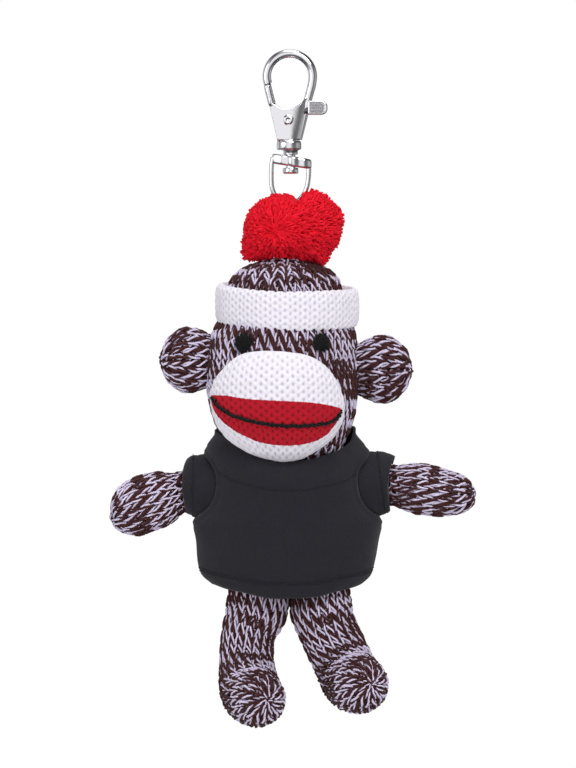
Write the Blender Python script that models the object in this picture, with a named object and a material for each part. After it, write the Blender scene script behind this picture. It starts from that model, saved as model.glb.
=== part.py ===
"""A knitted sock monkey that hangs from a swivel snap hook, in metres, +Z up, its face towards -Y.

The origin is the inside top of the hook's bow, where the whole thing hangs. The hook, the swivel loop
and the doll hang under it along Z. The head is round about its own axis, so the collar can turn on it.
"""

from bisect import bisect_right
from math import asin, atan2, cos, hypot, pi, radians, sin, sqrt

import bmesh
import bpy
from mathutils import Matrix, Vector

for old in list(bpy.data.objects):
    bpy.data.objects.remove(old, do_unlink=True)

# Clearances
GAP = 0.00035
CUT_OVERRUN = 0.002

# Hook: the bow's wire, the plate below it and the slot that the lever turns in
BOW_CENTRE_X = 0.0002
BOW_RADIUS = 0.00575
BOW_WIRE_RADIUS = 0.00105
BOW_TIP_ANGLE = radians(201)
BOW_HEEL_ANGLE = radians(-22)
BOW_STEPS = 18
BOW_WIRE_RESOLUTION = 3
PLATE_TOP = -0.0085
PLATE_BOTTOM = -0.0208
PLATE_HALF_WIDTH = 0.0046
PLATE_THICKNESS = 0.0040
PLATE_BEVEL = 0.0005
# Shares of the half width from the centre line and of the height up from the bottom
PLATE_OUTLINE_SHARES = [
    (-0.64, 0.0), (0.60, 0.0), (0.80, 0.32), (1.0, 0.68), (1.42, 0.95), (1.30, 1.0), (0.98, 0.98), (0.68, 0.80),
    (0.35, 0.69), (0.0, 0.655), (-0.40, 0.68), (-0.72, 0.735), (-0.95, 0.70), (-1.0, 0.64), (-0.82, 0.30),
]
SLOT_WIDTH = 0.0020
SLOT_FLOOR = 0.0018
SLOT_ROOF = -0.0103
COLLAR_RADIUS = 0.0030
COLLAR_HEIGHT = 0.0023
NECK_RADIUS = 0.0018
NECK_HEIGHT = 0.0012
TURNED_SIDES = 24
BORE_SIDES = 16

# Gate lever, its pin and its spring
PIVOT_X = -0.0002
PIVOT_Z = -0.0156
PIN_RADIUS = 0.00070
PIN_HEAD_RADIUS = 0.00130
PIN_HEAD_HEIGHT = 0.00045
PIN_CROWN_SHARE = 0.8
GATE_REACH = 0.0098
LEVER_THICKNESS = SLOT_WIDTH - 2 * GAP
# Shares of the reach, from the pin: up the gate, round its tip, back over the hub and out to the lug
LEVER_OUTLINE_SHARES = [
    (-0.19, 0.0), (-0.34, 0.26), (-0.45, 0.50), (-0.60, 0.75), (-0.52, 0.82), (-0.43, 0.79),
    (-0.33, 0.56), (-0.17, 0.25), (0.06, 0.21), (0.40, 0.20), (0.55, 0.42), (0.90, 0.44), (1.0, 0.37),
    (1.02, 0.20), (0.94, 0.12), (0.56, 0.10), (0.24, -0.10), (0.06, -0.19), (-0.12, -0.16),
]
LUG_THICKNESS = 0.0030
LUG_BEVEL = 0.0004
LUG_OUTLINE_SHARES = [(0.64, 0.13), (0.64, 0.43), (0.90, 0.45), (1.0, 0.39), (1.03, 0.22), (0.95, 0.12)]
SPRING_LEAF = 0.00035
SPRING_HALF_LENGTH = 0.0020
SPRING_RISE = 0.0005
SPRING_WIDTH = 0.0010

# Swivel: the headed stud, and the strap and wire that turn on it
STUD_RADIUS = 0.00085
STUD_HEAD_RADIUS = 0.00195
STUD_HEAD_HEIGHT = 0.0012
STUD_SINK = 0.0018
STUD_RIM_SHARE = 0.6
STUD_CROWN_SHARE = 0.7
STRAP_HALF_LENGTH = 0.0051
STRAP_HEIGHT = 0.0025
STRAP_THICKNESS = 0.0034
STRAP_BEVEL = 0.0006
SWIVEL_WIRE_RADIUS = 0.0006
SWIVEL_DROP = 0.0093
SWIVEL_STEPS = 16

# Head: turned about a standing axis, with a waist where the hat band sits
HEAD_X = -0.0010
HEAD_TOP = -0.0500
HEAD_HEIGHT = 0.0509
HEAD_RADIUS = 0.0181
HEAD_SIDES = 28
CORE_SIDES = 18
CORE_FEWER_SIDES = 4
# Shares of the height down from the crown, and of the radius
HEAD_PROFILE_SHARES = [
    (0.0, 0.22), (0.015, 0.34), (0.055, 0.60), (0.105, 0.74), (0.150, 0.80), (0.250, 0.845), (0.335, 0.865),
    (0.375, 0.885), (0.415, 0.955), (0.47, 1.0), (0.60, 1.01), (0.72, 0.99), (0.82, 0.93), (0.90, 0.84),
    (0.96, 0.74), (1.0, 0.62),
]
KNIT = 0.0020
# How far an inner surface stops short of the tip, as a share of how far it is drawn in
TIP_DEPTH_SHARE = 1.5

# Hat band: a rolled ring that dips at the front
BAND_DROP = 0.0124
BAND_MIDDLE = HEAD_TOP - BAND_DROP
BAND_HEIGHT = 0.0103
BAND_THICKNESS = 0.0022
BAND_DIP = 0.0012
BAND_SECTION_STEPS = 10
BAND_EDGE_POWER = 0.7
BAND_FACE_POWER = 0.6

# Muzzle: a dome on the head's front, turned with the face
FACE_TURN = radians(-12)
MUZZLE_REACH = 0.0375
MUZZLE_Z = HEAD_TOP - MUZZLE_REACH
MUZZLE_HALF_HEIGHT = 0.0133
MUZZLE_HALF_TURN = radians(62)
MUZZLE_BULGE = 0.0072
MUZZLE_DROP = 0.0016
MUZZLE_LIFT = 0.0020
MUZZLE_SIDES = 26
MUZZLE_CORE_SIDES = 20
MUZZLE_RING_SHARES = [0.22, 0.45, 0.66, 0.82, 0.93, 1.0]
MUZZLE_EDGE_SHARE = 0.16
# Across the muzzle's half turn and up its half height
MOUTH_LINE_SHARES = [
    (-0.90, -0.07), (-0.68, -0.12), (-0.46, -0.18), (-0.26, -0.23), (-0.10, -0.27), (0.09, -0.31),
    (0.25, -0.31), (0.40, -0.30), (0.61, -0.27), (0.78, -0.21), (0.88, -0.10),
]
MOUTH_THREAD_RADIUS = 0.00045
EYE_REACH = 0.0213
EYE_Z = HEAD_TOP - EYE_REACH
EYE_RADIUS = 0.0022
EYE_BULGE = 0.0010
EYE_TURNS = [("left_eye", radians(-34)), ("right_eye", radians(31))]
EYE_SIDES = 16
EYE_ROUND_SHARE = 0.75
EYE_RING_SHARES = [0.5, 0.85, 1.0]

# Ears: puffed discs, their roots on the head
EAR_REACH = 0.0133
EAR_HALF_HEIGHT = 0.0086
EAR_HALF_DEPTH = 0.0048
LEFT_EAR_REACH = 0.0259
RIGHT_EAR_REACH = 0.0274
EARS = [("left_ear", -1, HEAD_TOP - LEFT_EAR_REACH), ("right_ear", 1, HEAD_TOP - RIGHT_EAR_REACH)]
EAR_SIDES = 18
EAR_ROOT_SHARE = 0.78
# Shares of the reach from the head, and of the half height and depth
EAR_PROFILE_SHARES = [(1.0, 0.0), (0.955, 0.36), (0.83, 0.72), (0.58, 1.0), (0.28, 0.97), (0.0, EAR_ROOT_SHARE)]

# Pompom, its tie and the cord that the doll hangs by
POMPOM_X = 0.0006
POMPOM_RISE = 0.0076
POMPOM_Z = HEAD_TOP + POMPOM_RISE
POMPOM_HALF_WIDTH = 0.0126
POMPOM_HALF_DEPTH = 0.0112
POMPOM_HALF_HEIGHT = 0.0092
POMPOM_LUMP_SHARE = 0.045
POMPOM_SIDES = 24
POMPOM_RINGS = 10
POMPOM_LUMPS = 3
POMPOM_TWIST = 4
HANG_X = 0.0004
CORD_RADIUS = 0.0006
TIE_RADIUS = 0.00035
TIE_SIDES = 16
LOOP_SWING = radians(30)
CROWN_HOLE_RADIUS = 0.0031

# Shirt: half width, half depth and centre by height, and the collar's edge by turn from the front
HEAD_BOTTOM = HEAD_TOP - HEAD_HEIGHT
SHIRT_OVERLAP = 0.0089
SHIRT_TOP = HEAD_BOTTOM + SHIRT_OVERLAP
SHIRT_HEIGHT = 0.0435
SHIRT_HALF_WIDTH = 0.0227
SHIRT_HALF_DEPTH = 0.0186
SHIRT_WALL = 0.0011
SHIRT_SIDES = 32
# Shares of the height down from the top, of the half width, of the half depth and of the head's offset
SHIRT_PROFILE_SHARES = [
    (0.0, 0.7841, 0.9570, 1.0), (0.0437, 0.7974, 0.9677, 1.0), (0.0828, 0.8326, 0.9892, 1.0),
    (0.1724, 0.8722, 1.0, 0.8), (0.2874, 0.8678, 0.9677, 0.6), (0.4598, 0.9383, 0.9032, 0.4),
    (0.6437, 1.0, 0.8710, 0.4), (0.8276, 0.9559, 0.8172, 0.6), (0.9080, 0.8458, 0.7634, 0.5),
    (1.0, 0.7577, 0.6989, 0.3),
]
SHIRT_LEVELS = [SHIRT_TOP - SHIRT_HEIGHT * shares[0] for shares in SHIRT_PROFILE_SHARES]
SHIRT_HALF_WIDTHS = [SHIRT_HALF_WIDTH * shares[1] for shares in SHIRT_PROFILE_SHARES]
SHIRT_HALF_DEPTHS = [SHIRT_HALF_DEPTH * shares[2] for shares in SHIRT_PROFILE_SHARES]
SHIRT_CENTRES = [HEAD_X * shares[3] for shares in SHIRT_PROFILE_SHARES]
COLLAR_TURNS = [radians(turn) for turn in (0, 28, 45, 60, 75, 90, 180)]
# Shares of the shirt's height down from its top
COLLAR_EDGE_SHARES = [0.2138, 0.2115, 0.1931, 0.1471, 0.0736, 0.0414, 0.0046]
COLLAR_EDGES = [SHIRT_TOP - SHIRT_HEIGHT * share for share in COLLAR_EDGE_SHARES]
COLLAR_REACH = 0.0140
COLLAR_FOOT = SHIRT_TOP - COLLAR_REACH
HEM_REACH = 0.0396
HEM_SIDE = SHIRT_TOP - HEM_REACH
HEM_FRONT_DROP = 0.0035
HEM_BACK_DROP = 0.0022
COLLAR_STEP_SHARES = [0.0, 0.12, 0.32, 0.62, 1.0]
SHIRT_LEVEL_SHARES = [0.25, 0.52, 0.78, 0.93, 1.0]

# Torso: it fills the shirt, from the neck seam down to the hips
NECK_SEAM = HEAD_BOTTOM - GAP
TORSO_HEIGHT = 0.03175
TORSO_BOTTOM = NECK_SEAM - TORSO_HEIGHT
TORSO_SIDES = 24
# Shares of the height below the neck seam, and of what the shirt leaves
TORSO_PROFILE_SHARES = [
    (0.0, 0.60), (0.06, 0.80), (0.14, 0.96), (0.28, 1.0), (0.48, 1.0), (0.68, 1.0), (0.84, 0.92), (0.95, 0.70),
    (0.995, 0.36),
]

# Arms and sleeves: a ball root in a socket, the hand swelling past the cuff
SHOULDER_DROP = 0.0154
SHOULDER_Z = SHIRT_TOP - SHOULDER_DROP
SHOULDER_BALL = 0.0083
ARM_LENGTH = 0.0260
ARM_RADIUS = 0.0070
ARM_SIDES = 16
SLEEVE_SIDES = 18
LEFT_SHOULDER_X = -0.0190
RIGHT_SHOULDER_X = 0.0180
SHOULDERS = {"left": LEFT_SHOULDER_X, "right": RIGHT_SHOULDER_X}
SIGNS = {"left": -1, "right": 1}
# Outwards and upwards shares of the length, then the radius's share, from the tip to the open root
ARM_STATION_SHARES = {
    "left": [
        (1.0, -0.300, 0.0), (0.972, -0.294, 0.34), (0.90, -0.272, 0.74), (0.79, -0.225, 0.97),
        (0.64, -0.155, 1.02), (0.48, -0.100, 0.97), (0.37, -0.065, 0.80), (0.31, -0.050, 0.70),
        (0.23, -0.030, 0.80), (0.115, -0.012, 0.90), (0.0, 0.0, 0.96), (-0.13, 0.0, 0.84), (-0.20, 0.0, 0.62),
    ],
    "right": [
        (1.11, -0.045, 0.0), (1.08, -0.046, 0.34), (1.01, -0.050, 0.62), (0.90, -0.056, 0.82),
        (0.74, -0.055, 0.90), (0.58, -0.040, 0.88), (0.43, -0.015, 0.80), (0.32, 0.002, 0.70),
        (0.23, 0.005, 0.80), (0.115, 0.002, 0.90), (0.0, 0.0, 0.96), (-0.13, 0.0, 0.84), (-0.20, 0.0, 0.62),
    ],
}
# Shares of the shoulder ball, outwards and as the radius, from the cuff to the open root. The lead is a
# place past the cuff that only turns the cuff square to the arm.
SLEEVE_LEAD_SHARE = 1.25
SLEEVE_STATION_SHARES = [(1.02, 0.77), (0.76, 0.845), (0.38, 0.92), (0.0, 1.0), (-0.42, 0.9075), (-0.72, 0.694)]

# Legs: a ball root at each hip, and a foot that curls forwards
HIP_DROP = 0.0416
HIP_Z = SHIRT_TOP - HIP_DROP
HIP_BALL = 0.00745
LEG_LENGTH = 0.0340
LEG_RADIUS = 0.0072
LEG_SIDES = 16
LEFT_HIP_X = -0.0076
RIGHT_HIP_X = 0.0078
HIPS = {"left": LEFT_HIP_X, "right": RIGHT_HIP_X}
# Shares of the length to the side, forwards and down, then the radius's share, from the toe to the open root
LEG_STATION_SHARES = {
    "left": [
        (0.070, 0.505, 0.775, 0.0), (0.062, 0.480, 0.775, 0.40), (0.040, 0.415, 0.777, 0.76),
        (0.010, 0.320, 0.778, 0.96), (-0.030, 0.215, 0.768, 1.03), (-0.062, 0.118, 0.715, 1.05),
        (-0.082, 0.045, 0.610, 1.00), (-0.088, 0.005, 0.465, 0.95), (-0.072, 0.0, 0.300, 0.95),
        (-0.034, 0.0, 0.140, 1.00), (0.0, 0.0, 0.0, 1.033), (0.0, 0.0, -0.110, 0.895), (0.0, 0.0, -0.185, 0.56),
    ],
    "right": [
        (0.375, 0.500, 0.655, 0.0), (0.368, 0.475, 0.657, 0.40), (0.345, 0.410, 0.665, 0.76),
        (0.310, 0.315, 0.672, 0.97), (0.268, 0.210, 0.672, 1.04), (0.225, 0.112, 0.632, 1.06),
        (0.180, 0.040, 0.545, 1.04), (0.120, 0.005, 0.415, 1.03), (0.058, 0.0, 0.275, 1.03),
        (0.020, 0.0, 0.135, 1.033), (0.0, 0.0, 0.0, 1.033), (0.0, 0.0, -0.110, 0.895), (0.0, 0.0, -0.185, 0.56),
    ],
}

BALL_SEGMENTS = 20
BALL_RINGS = 10

# What follows from the sizes above
BOW_CENTRE_Z = BOW_WIRE_RADIUS - BOW_RADIUS
COLLAR_BOTTOM = PLATE_BOTTOM - COLLAR_HEIGHT
NECK_BOTTOM = COLLAR_BOTTOM - NECK_HEIGHT
STRAP_TOP = NECK_BOTTOM - GAP
STRAP_BOTTOM = STRAP_TOP - STRAP_HEIGHT
STUD_HEAD_TOP = STRAP_BOTTOM - GAP
HANG_Z = STRAP_BOTTOM - SWIVEL_DROP
CORD_BEND = SWIVEL_WIRE_RADIUS + GAP + CORD_RADIUS
CORD_LOW = HEAD_TOP - KNIT + CORD_BEND + CORD_RADIUS
print("hang axis z", round(HANG_Z, 5))


def between(x, places, values):
    """The value at x on straight lines between the points; places rise or fall."""
    if places[0] > places[-1]:
        places = [-place for place in places]
        x = -x
    index = min(max(bisect_right(places, x), 1), len(places) - 1)
    low, high = places[index - 1], places[index]
    share = min(max((x - low) / (high - low), 0), 1)
    return values[index - 1] * (1 - share) + values[index] * share


def head_radius(z):
    down = (HEAD_TOP - z) / HEAD_HEIGHT
    shares = between(down, [row[0] for row in HEAD_PROFILE_SHARES], [row[1] for row in HEAD_PROFILE_SHARES])
    return HEAD_RADIUS * shares


def on_head(turn, z, out):
    """A point this far out from the head's surface, turned from the front towards +X."""
    radius = head_radius(z) + out
    return Vector((HEAD_X + radius * sin(turn), -radius * cos(turn), z))


def finish(obj, colour, roughness, metallic=0.0):
    material = bpy.data.materials.new(obj.name)
    material.use_nodes = True
    shader = material.node_tree.nodes["Principled BSDF"]
    shader.inputs["Base Color"].default_value = (*colour, 1)
    shader.inputs["Roughness"].default_value = roughness
    shader.inputs["Metallic"].default_value = metallic
    material.diffuse_color = (*colour, 1)
    obj.data.materials.clear()
    obj.data.materials.append(material)


def nickel(obj):
    finish(obj, (0.72, 0.72, 0.74), 0.18, 1.0)


def marl(obj):
    finish(obj, (0.36, 0.26, 0.30), 0.9)


def white_knit(obj):
    finish(obj, (0.86, 0.84, 0.90), 0.9)


def black_yarn(obj):
    finish(obj, (0.02, 0.02, 0.02), 0.85)


def red_yarn(obj):
    finish(obj, (0.72, 0.02, 0.05), 0.85)


def jersey(obj):
    finish(obj, (0.035, 0.035, 0.045), 0.85)


def filling(obj):
    finish(obj, (0.90, 0.90, 0.88), 0.95)


def mesh_object(name, work, origin=(0, 0, 0)):
    """Turns a bmesh into an object whose origin is here, with its faces pointing out."""
    bmesh.ops.recalc_face_normals(work, faces=work.faces)
    bmesh.ops.translate(work, verts=work.verts, vec=-Vector(origin))
    mesh = bpy.data.meshes.new(name)
    work.to_mesh(mesh)
    work.free()
    mesh.shade_smooth()
    obj = bpy.data.objects.new(name, mesh)
    obj.location = origin
    bpy.context.scene.collection.objects.link(obj)
    return obj


def skin_rings(work, rings, closed=False):
    """Joins rings of points; a ring of one point is a pole. closed joins the last ring to the first."""
    rows = [[work.verts.new(point) for point in ring] for ring in rings]
    pairs = list(zip(rows, rows[1:]))
    if closed:
        pairs.append((rows[-1], rows[0]))
    for one, two in pairs:
        count = max(len(one), len(two))
        for i in range(count):
            j = (i + 1) % count
            if len(one) == 1:
                work.faces.new((one[0], two[j], two[i]))
            elif len(two) == 1:
                work.faces.new((one[i], one[j], two[0]))
            else:
                work.faces.new((one[i], one[j], two[j], two[i]))
    return rows


def ring_object(name, rings, closed=False, capped=False, origin=(0, 0, 0)):
    work = bmesh.new()
    rows = skin_rings(work, rings, closed)
    if capped:
        work.faces.new(rows[0])
        work.faces.new(rows[-1])
    return mesh_object(name, work, origin)


def applied(obj, name=None):
    """The object with its modifiers worked in, as one plain mesh."""
    graph = bpy.context.evaluated_depsgraph_get()
    mesh = bpy.data.meshes.new_from_object(obj.evaluated_get(graph), depsgraph=graph)
    mesh.name = name or obj.name
    obj.modifiers.clear()
    if obj.type == "MESH":
        obj.data = mesh
        mesh.shade_smooth()
        return obj
    plain = bpy.data.objects.new(name, mesh)
    plain.location = obj.location
    bpy.context.scene.collection.objects.link(plain)
    bpy.data.objects.remove(obj, do_unlink=True)
    mesh.shade_smooth()
    return plain


def cutter(obj):
    obj.hide_render = True
    obj.display_type = "WIRE"
    return obj


def combine(obj, other, operation):
    modifier = obj.modifiers.new(operation.lower(), "BOOLEAN")
    modifier.object = other
    modifier.operation = operation
    modifier.solver = "EXACT"
    bpy.context.view_layer.update()
    applied(obj)


def cut(obj, *others):
    for other in others:
        combine(obj, other, "DIFFERENCE")


def fuse(obj, *others):
    for other in others:
        combine(obj, other, "UNION")
        bpy.data.objects.remove(other, do_unlink=True)


def turned(name, profile, sides, at, axis="Z"):
    """Turns (radius, along) pairs about an axis; a radius of zero is a pole."""
    rings = []
    for radius, along in profile:
        if radius == 0:
            ring = [Vector((0, 0, along))]
        else:
            angles = [2 * pi * i / sides for i in range(sides)]
            ring = [Vector((radius * cos(a), radius * sin(a), along)) for a in angles]
        if axis == "Y":
            ring = [Vector((point.x, point.z, -point.y)) for point in ring]
        rings.append([point + Vector(at) for point in ring])
    return ring_object(name, rings, origin=at)


def drum(name, radius, low, high, at, axis="Z", sides=TURNED_SIDES):
    profile = [(0, low), (radius, low), (radius, high), (0, high)]
    return turned(name, profile, sides, at, axis)


def ball(name, centre, radius, segments=BALL_SEGMENTS, rings=BALL_RINGS):
    profile = [(radius * sin(pi * i / rings), -radius * cos(pi * i / rings)) for i in range(1, rings)]
    return turned(name, [(0, -radius), *profile, (0, radius)], segments, centre)


def slab(name, outline, low, high):
    """Extrudes an outline in X and Z from low to high along Y."""
    rings = [[Vector((x, y, z)) for x, z in outline] for y in (low, high)]
    obj = ring_object(name, rings, capped=True)
    obj.data.shade_flat()
    return obj


def box(name, low, high):
    outline = [(low[0], low[2]), (high[0], low[2]), (high[0], high[2]), (low[0], high[2])]
    return slab(name, outline, low[1], high[1])


def bevelled(obj, width, segments=2):
    modifier = obj.modifiers.new("bevel", "BEVEL")
    modifier.width = width
    modifier.segments = segments
    modifier.limit_method = "ANGLE"
    bpy.context.view_layer.update()
    applied(obj)
    obj.data.set_sharp_from_angle(angle=radians(40))
    return obj


def wire(name, points, radius, resolution=3, cyclic=False):
    curve = bpy.data.curves.new(name, "CURVE")
    curve.dimensions = "3D"
    spline = curve.splines.new("POLY")
    spline.points.add(len(points) - 1)
    for place, point in zip(spline.points, points):
        place.co = (*point, 1)
    spline.use_cyclic_u = cyclic
    curve.bevel_depth = radius
    curve.bevel_resolution = resolution
    curve.use_fill_caps = True
    obj = bpy.data.objects.new(name + "_path", curve)
    bpy.context.scene.collection.objects.link(obj)
    bpy.context.view_layer.update()
    return applied(obj, name)


def along(stations):
    """Unit directions along the stations' centres, by central differences."""
    centres = [station[0] for station in stations]
    last = len(centres) - 1
    return [(centres[min(i + 1, last)] - centres[max(i - 1, 0)]).normalized() for i in range(last + 1)]


def limb_rings(stations, sides, inset):
    """Rings round a limb, tip first: its tip is a pole, and inset draws every ring in."""
    ways = along(stations)
    tip = stations[0][0]
    depth = inset * TIP_DEPTH_SHARE
    rings = [[tip + ways[0] * depth]]
    side = Vector((0, 1, 0)) if abs(ways[-1].x) > abs(ways[-1].z) else Vector((1, 0, 0))
    for (centre, radius), way in zip(stations[1:], ways[1:]):
        first = (side - way * side.dot(way)).normalized()
        second = way.cross(first)
        reach = radius - inset
        if reach <= 0 or (centre - tip).length < depth + GAP:
            continue
        angles = [2 * pi * i / sides for i in range(sides)]
        rings.append([centre + first * reach * cos(a) + second * reach * sin(a) for a in angles])
    return rings


def stuffed_limb(name, stations, sides, origin):
    """A knitted sleeve of skin, open at its root, and the filling inside it."""
    outer = limb_rings(stations, sides, 0)
    inner = limb_rings(stations, sides, KNIT)
    skin = ring_object(name, outer + inner[::-1], origin=origin)
    core = limb_rings(stations, sides - CORE_FEWER_SIDES, KNIT + GAP)
    stuffing = ring_object(name + "_stuffing", core + [[stations[-1][0]]], origin=origin)
    marl(skin)
    filling(stuffing)
    return skin, stuffing


def shoulder(side):
    return Vector((SHOULDERS[side], 0, SHOULDER_Z))


def hip(side):
    return Vector((HIPS[side], 0, HIP_Z))


# Shapes of the clasp


def make_hook_body():
    steps = [i / BOW_STEPS for i in range(BOW_STEPS + 1)]
    angles = [BOW_TIP_ANGLE + (BOW_HEEL_ANGLE - BOW_TIP_ANGLE) * step for step in steps]
    route = [Vector((BOW_CENTRE_X + BOW_RADIUS * cos(a), 0, BOW_CENTRE_Z + BOW_RADIUS * sin(a))) for a in angles]
    heel = Vector((PLATE_HALF_WIDTH, 0, PLATE_TOP - BOW_WIRE_RADIUS))
    route += [route[-1].lerp(heel, 0.5), heel]
    body = wire("hook_body", route, BOW_WIRE_RADIUS, resolution=BOW_WIRE_RESOLUTION)

    height = PLATE_TOP - PLATE_BOTTOM
    outline = [(BOW_CENTRE_X + x * PLATE_HALF_WIDTH, PLATE_BOTTOM + z * height) for x, z in PLATE_OUTLINE_SHARES]
    plate = bevelled(slab("plate", outline, -PLATE_THICKNESS / 2, PLATE_THICKNESS / 2), PLATE_BEVEL, 1)
    profile = [
        (0, PLATE_BOTTOM + GAP), (COLLAR_RADIUS, PLATE_BOTTOM + GAP), (COLLAR_RADIUS, COLLAR_BOTTOM),
        (NECK_RADIUS, COLLAR_BOTTOM), (NECK_RADIUS, NECK_BOTTOM), (0, NECK_BOTTOM),
    ]
    collar = turned("collar", profile, TURNED_SIDES, (HANG_X, 0, 0))
    fuse(body, plate, collar)

    slot = cutter(box(
        "slot_cutter",
        (-GATE_REACH, -SLOT_WIDTH / 2, PLATE_BOTTOM + SLOT_FLOOR),
        (GATE_REACH, SLOT_WIDTH / 2, SLOT_ROOF),
    ))
    pivot = cutter(drum(
        "pivot_cutter", PIN_RADIUS + GAP, -PLATE_THICKNESS, PLATE_THICKNESS, (PIVOT_X, 0, PIVOT_Z), "Y", BORE_SIDES
    ))
    bore_top = COLLAR_BOTTOM + STUD_SINK + GAP
    bore = cutter(drum("bore_cutter", STUD_RADIUS + GAP, NECK_BOTTOM - CUT_OVERRUN, bore_top, (HANG_X, 0, 0)))
    cut(body, slot, pivot, bore)
    body.data.set_sharp_from_angle(angle=radians(35))
    nickel(body)


def make_gate_lever():
    at = Vector((PIVOT_X, 0, PIVOT_Z))
    outline = [(at.x + x * GATE_REACH, at.z + z * GATE_REACH) for x, z in LEVER_OUTLINE_SHARES]
    lever = slab("gate_lever", outline, -LEVER_THICKNESS / 2, LEVER_THICKNESS / 2)
    lug = [(at.x + x * GATE_REACH, at.z + z * GATE_REACH) for x, z in LUG_OUTLINE_SHARES]
    fuse(lever, bevelled(slab("lug", lug, -LUG_THICKNESS / 2, LUG_THICKNESS / 2), LUG_BEVEL, 1))
    pivot = cutter(drum("lever_cutter", PIN_RADIUS + GAP, -PLATE_THICKNESS, PLATE_THICKNESS, at, "Y", BORE_SIDES))
    cut(lever, pivot)
    lever.data.transform(Matrix.Translation(-at))
    lever.location = at
    lever.data.set_sharp_from_angle(angle=radians(35))
    nickel(lever)


def make_gate_pin():
    face = PLATE_THICKNESS / 2 + GAP
    top = face + PIN_HEAD_HEIGHT
    profile = [
        (0, -top), (PIN_HEAD_RADIUS * PIN_CROWN_SHARE, -top), (PIN_HEAD_RADIUS, -face), (PIN_RADIUS, -face),
        (PIN_RADIUS, face), (PIN_HEAD_RADIUS, face), (PIN_HEAD_RADIUS * PIN_CROWN_SHARE, top), (0, top),
    ]
    pin = turned("gate_pivot_pin", profile, BORE_SIDES, (PIVOT_X, 0, PIVOT_Z), "Y")
    pin.data.set_sharp_from_angle(angle=radians(35))
    nickel(pin)


def make_gate_spring():
    floor = PLATE_BOTTOM + SLOT_FLOOR + GAP
    left = PIVOT_X - SPRING_HALF_LENGTH
    right = PIVOT_X + SPRING_HALF_LENGTH
    under = [(left, floor), (PIVOT_X, floor), (right, floor + SPRING_RISE)]
    over = [(x, z + SPRING_LEAF) for x, z in reversed(under)]
    spring = slab("gate_spring", under + over, -SPRING_WIDTH / 2, SPRING_WIDTH / 2)
    nickel(spring)


def make_swivel_stud():
    profile = [
        (0, COLLAR_BOTTOM + STUD_SINK), (STUD_RADIUS, COLLAR_BOTTOM + STUD_SINK), (STUD_RADIUS, STUD_HEAD_TOP),
        (STUD_HEAD_RADIUS, STUD_HEAD_TOP), (STUD_HEAD_RADIUS, STUD_HEAD_TOP - STUD_HEAD_HEIGHT * STUD_RIM_SHARE),
        (STUD_HEAD_RADIUS * STUD_CROWN_SHARE, STUD_HEAD_TOP - STUD_HEAD_HEIGHT), (0, STUD_HEAD_TOP - STUD_HEAD_HEIGHT),
    ]
    stud = turned("swivel_stud", profile, TURNED_SIDES, (HANG_X, 0, 0))
    stud.data.set_sharp_from_angle(angle=radians(35))
    nickel(stud)


def make_swivel_loop():
    half = STRAP_THICKNESS / 2
    strap = box(
        "swivel_loop", (HANG_X - STRAP_HALF_LENGTH, -half, STRAP_BOTTOM), (HANG_X + STRAP_HALF_LENGTH, half, STRAP_TOP)
    )
    bevelled(strap, STRAP_BEVEL)
    reach = STRAP_HALF_LENGTH - SWIVEL_WIRE_RADIUS
    middle = STRAP_BOTTOM - SWIVEL_DROP + reach
    angles = [pi + pi * i / SWIVEL_STEPS for i in range(SWIVEL_STEPS + 1)]
    bend = [Vector((HANG_X + reach * cos(a), 0, middle + reach * sin(a))) for a in angles]
    root = STRAP_BOTTOM + STRAP_HEIGHT / 2
    route = [Vector((bend[0].x, 0, root)), *bend, Vector((bend[-1].x, 0, root))]
    bow = wire("swivel_wire", route, SWIVEL_WIRE_RADIUS, resolution=2)
    fuse(strap, bow)
    hole = cutter(drum("strap_cutter", STUD_RADIUS + GAP, STRAP_BOTTOM - CUT_OVERRUN, STRAP_TOP + CUT_OVERRUN,
                       (HANG_X, 0, 0)))
    cut(strap, hole)
    strap.data.set_sharp_from_angle(angle=radians(35))
    nickel(strap)


# Shapes of the head


def make_hanger_loop():
    """A long ring of cord: over the swivel's wire at its top, and through the crown at its foot."""
    steps = 8
    top = [pi * i / steps for i in range(steps + 1)]
    over = [Vector((HANG_X, CORD_BEND * cos(a), HANG_Z + CORD_BEND * sin(a))) for a in top]
    under = [Vector((HANG_X, -CORD_BEND * cos(a), CORD_LOW - CORD_BEND * sin(a))) for a in top]
    middle = (HANG_Z + CORD_LOW) / 2
    route = over + [Vector((HANG_X, -CORD_BEND, middle))] + under + [Vector((HANG_X, CORD_BEND, middle))]
    loop = wire("hanger_loop", route, CORD_RADIUS, resolution=2, cyclic=True)
    red_yarn(loop)


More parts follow.
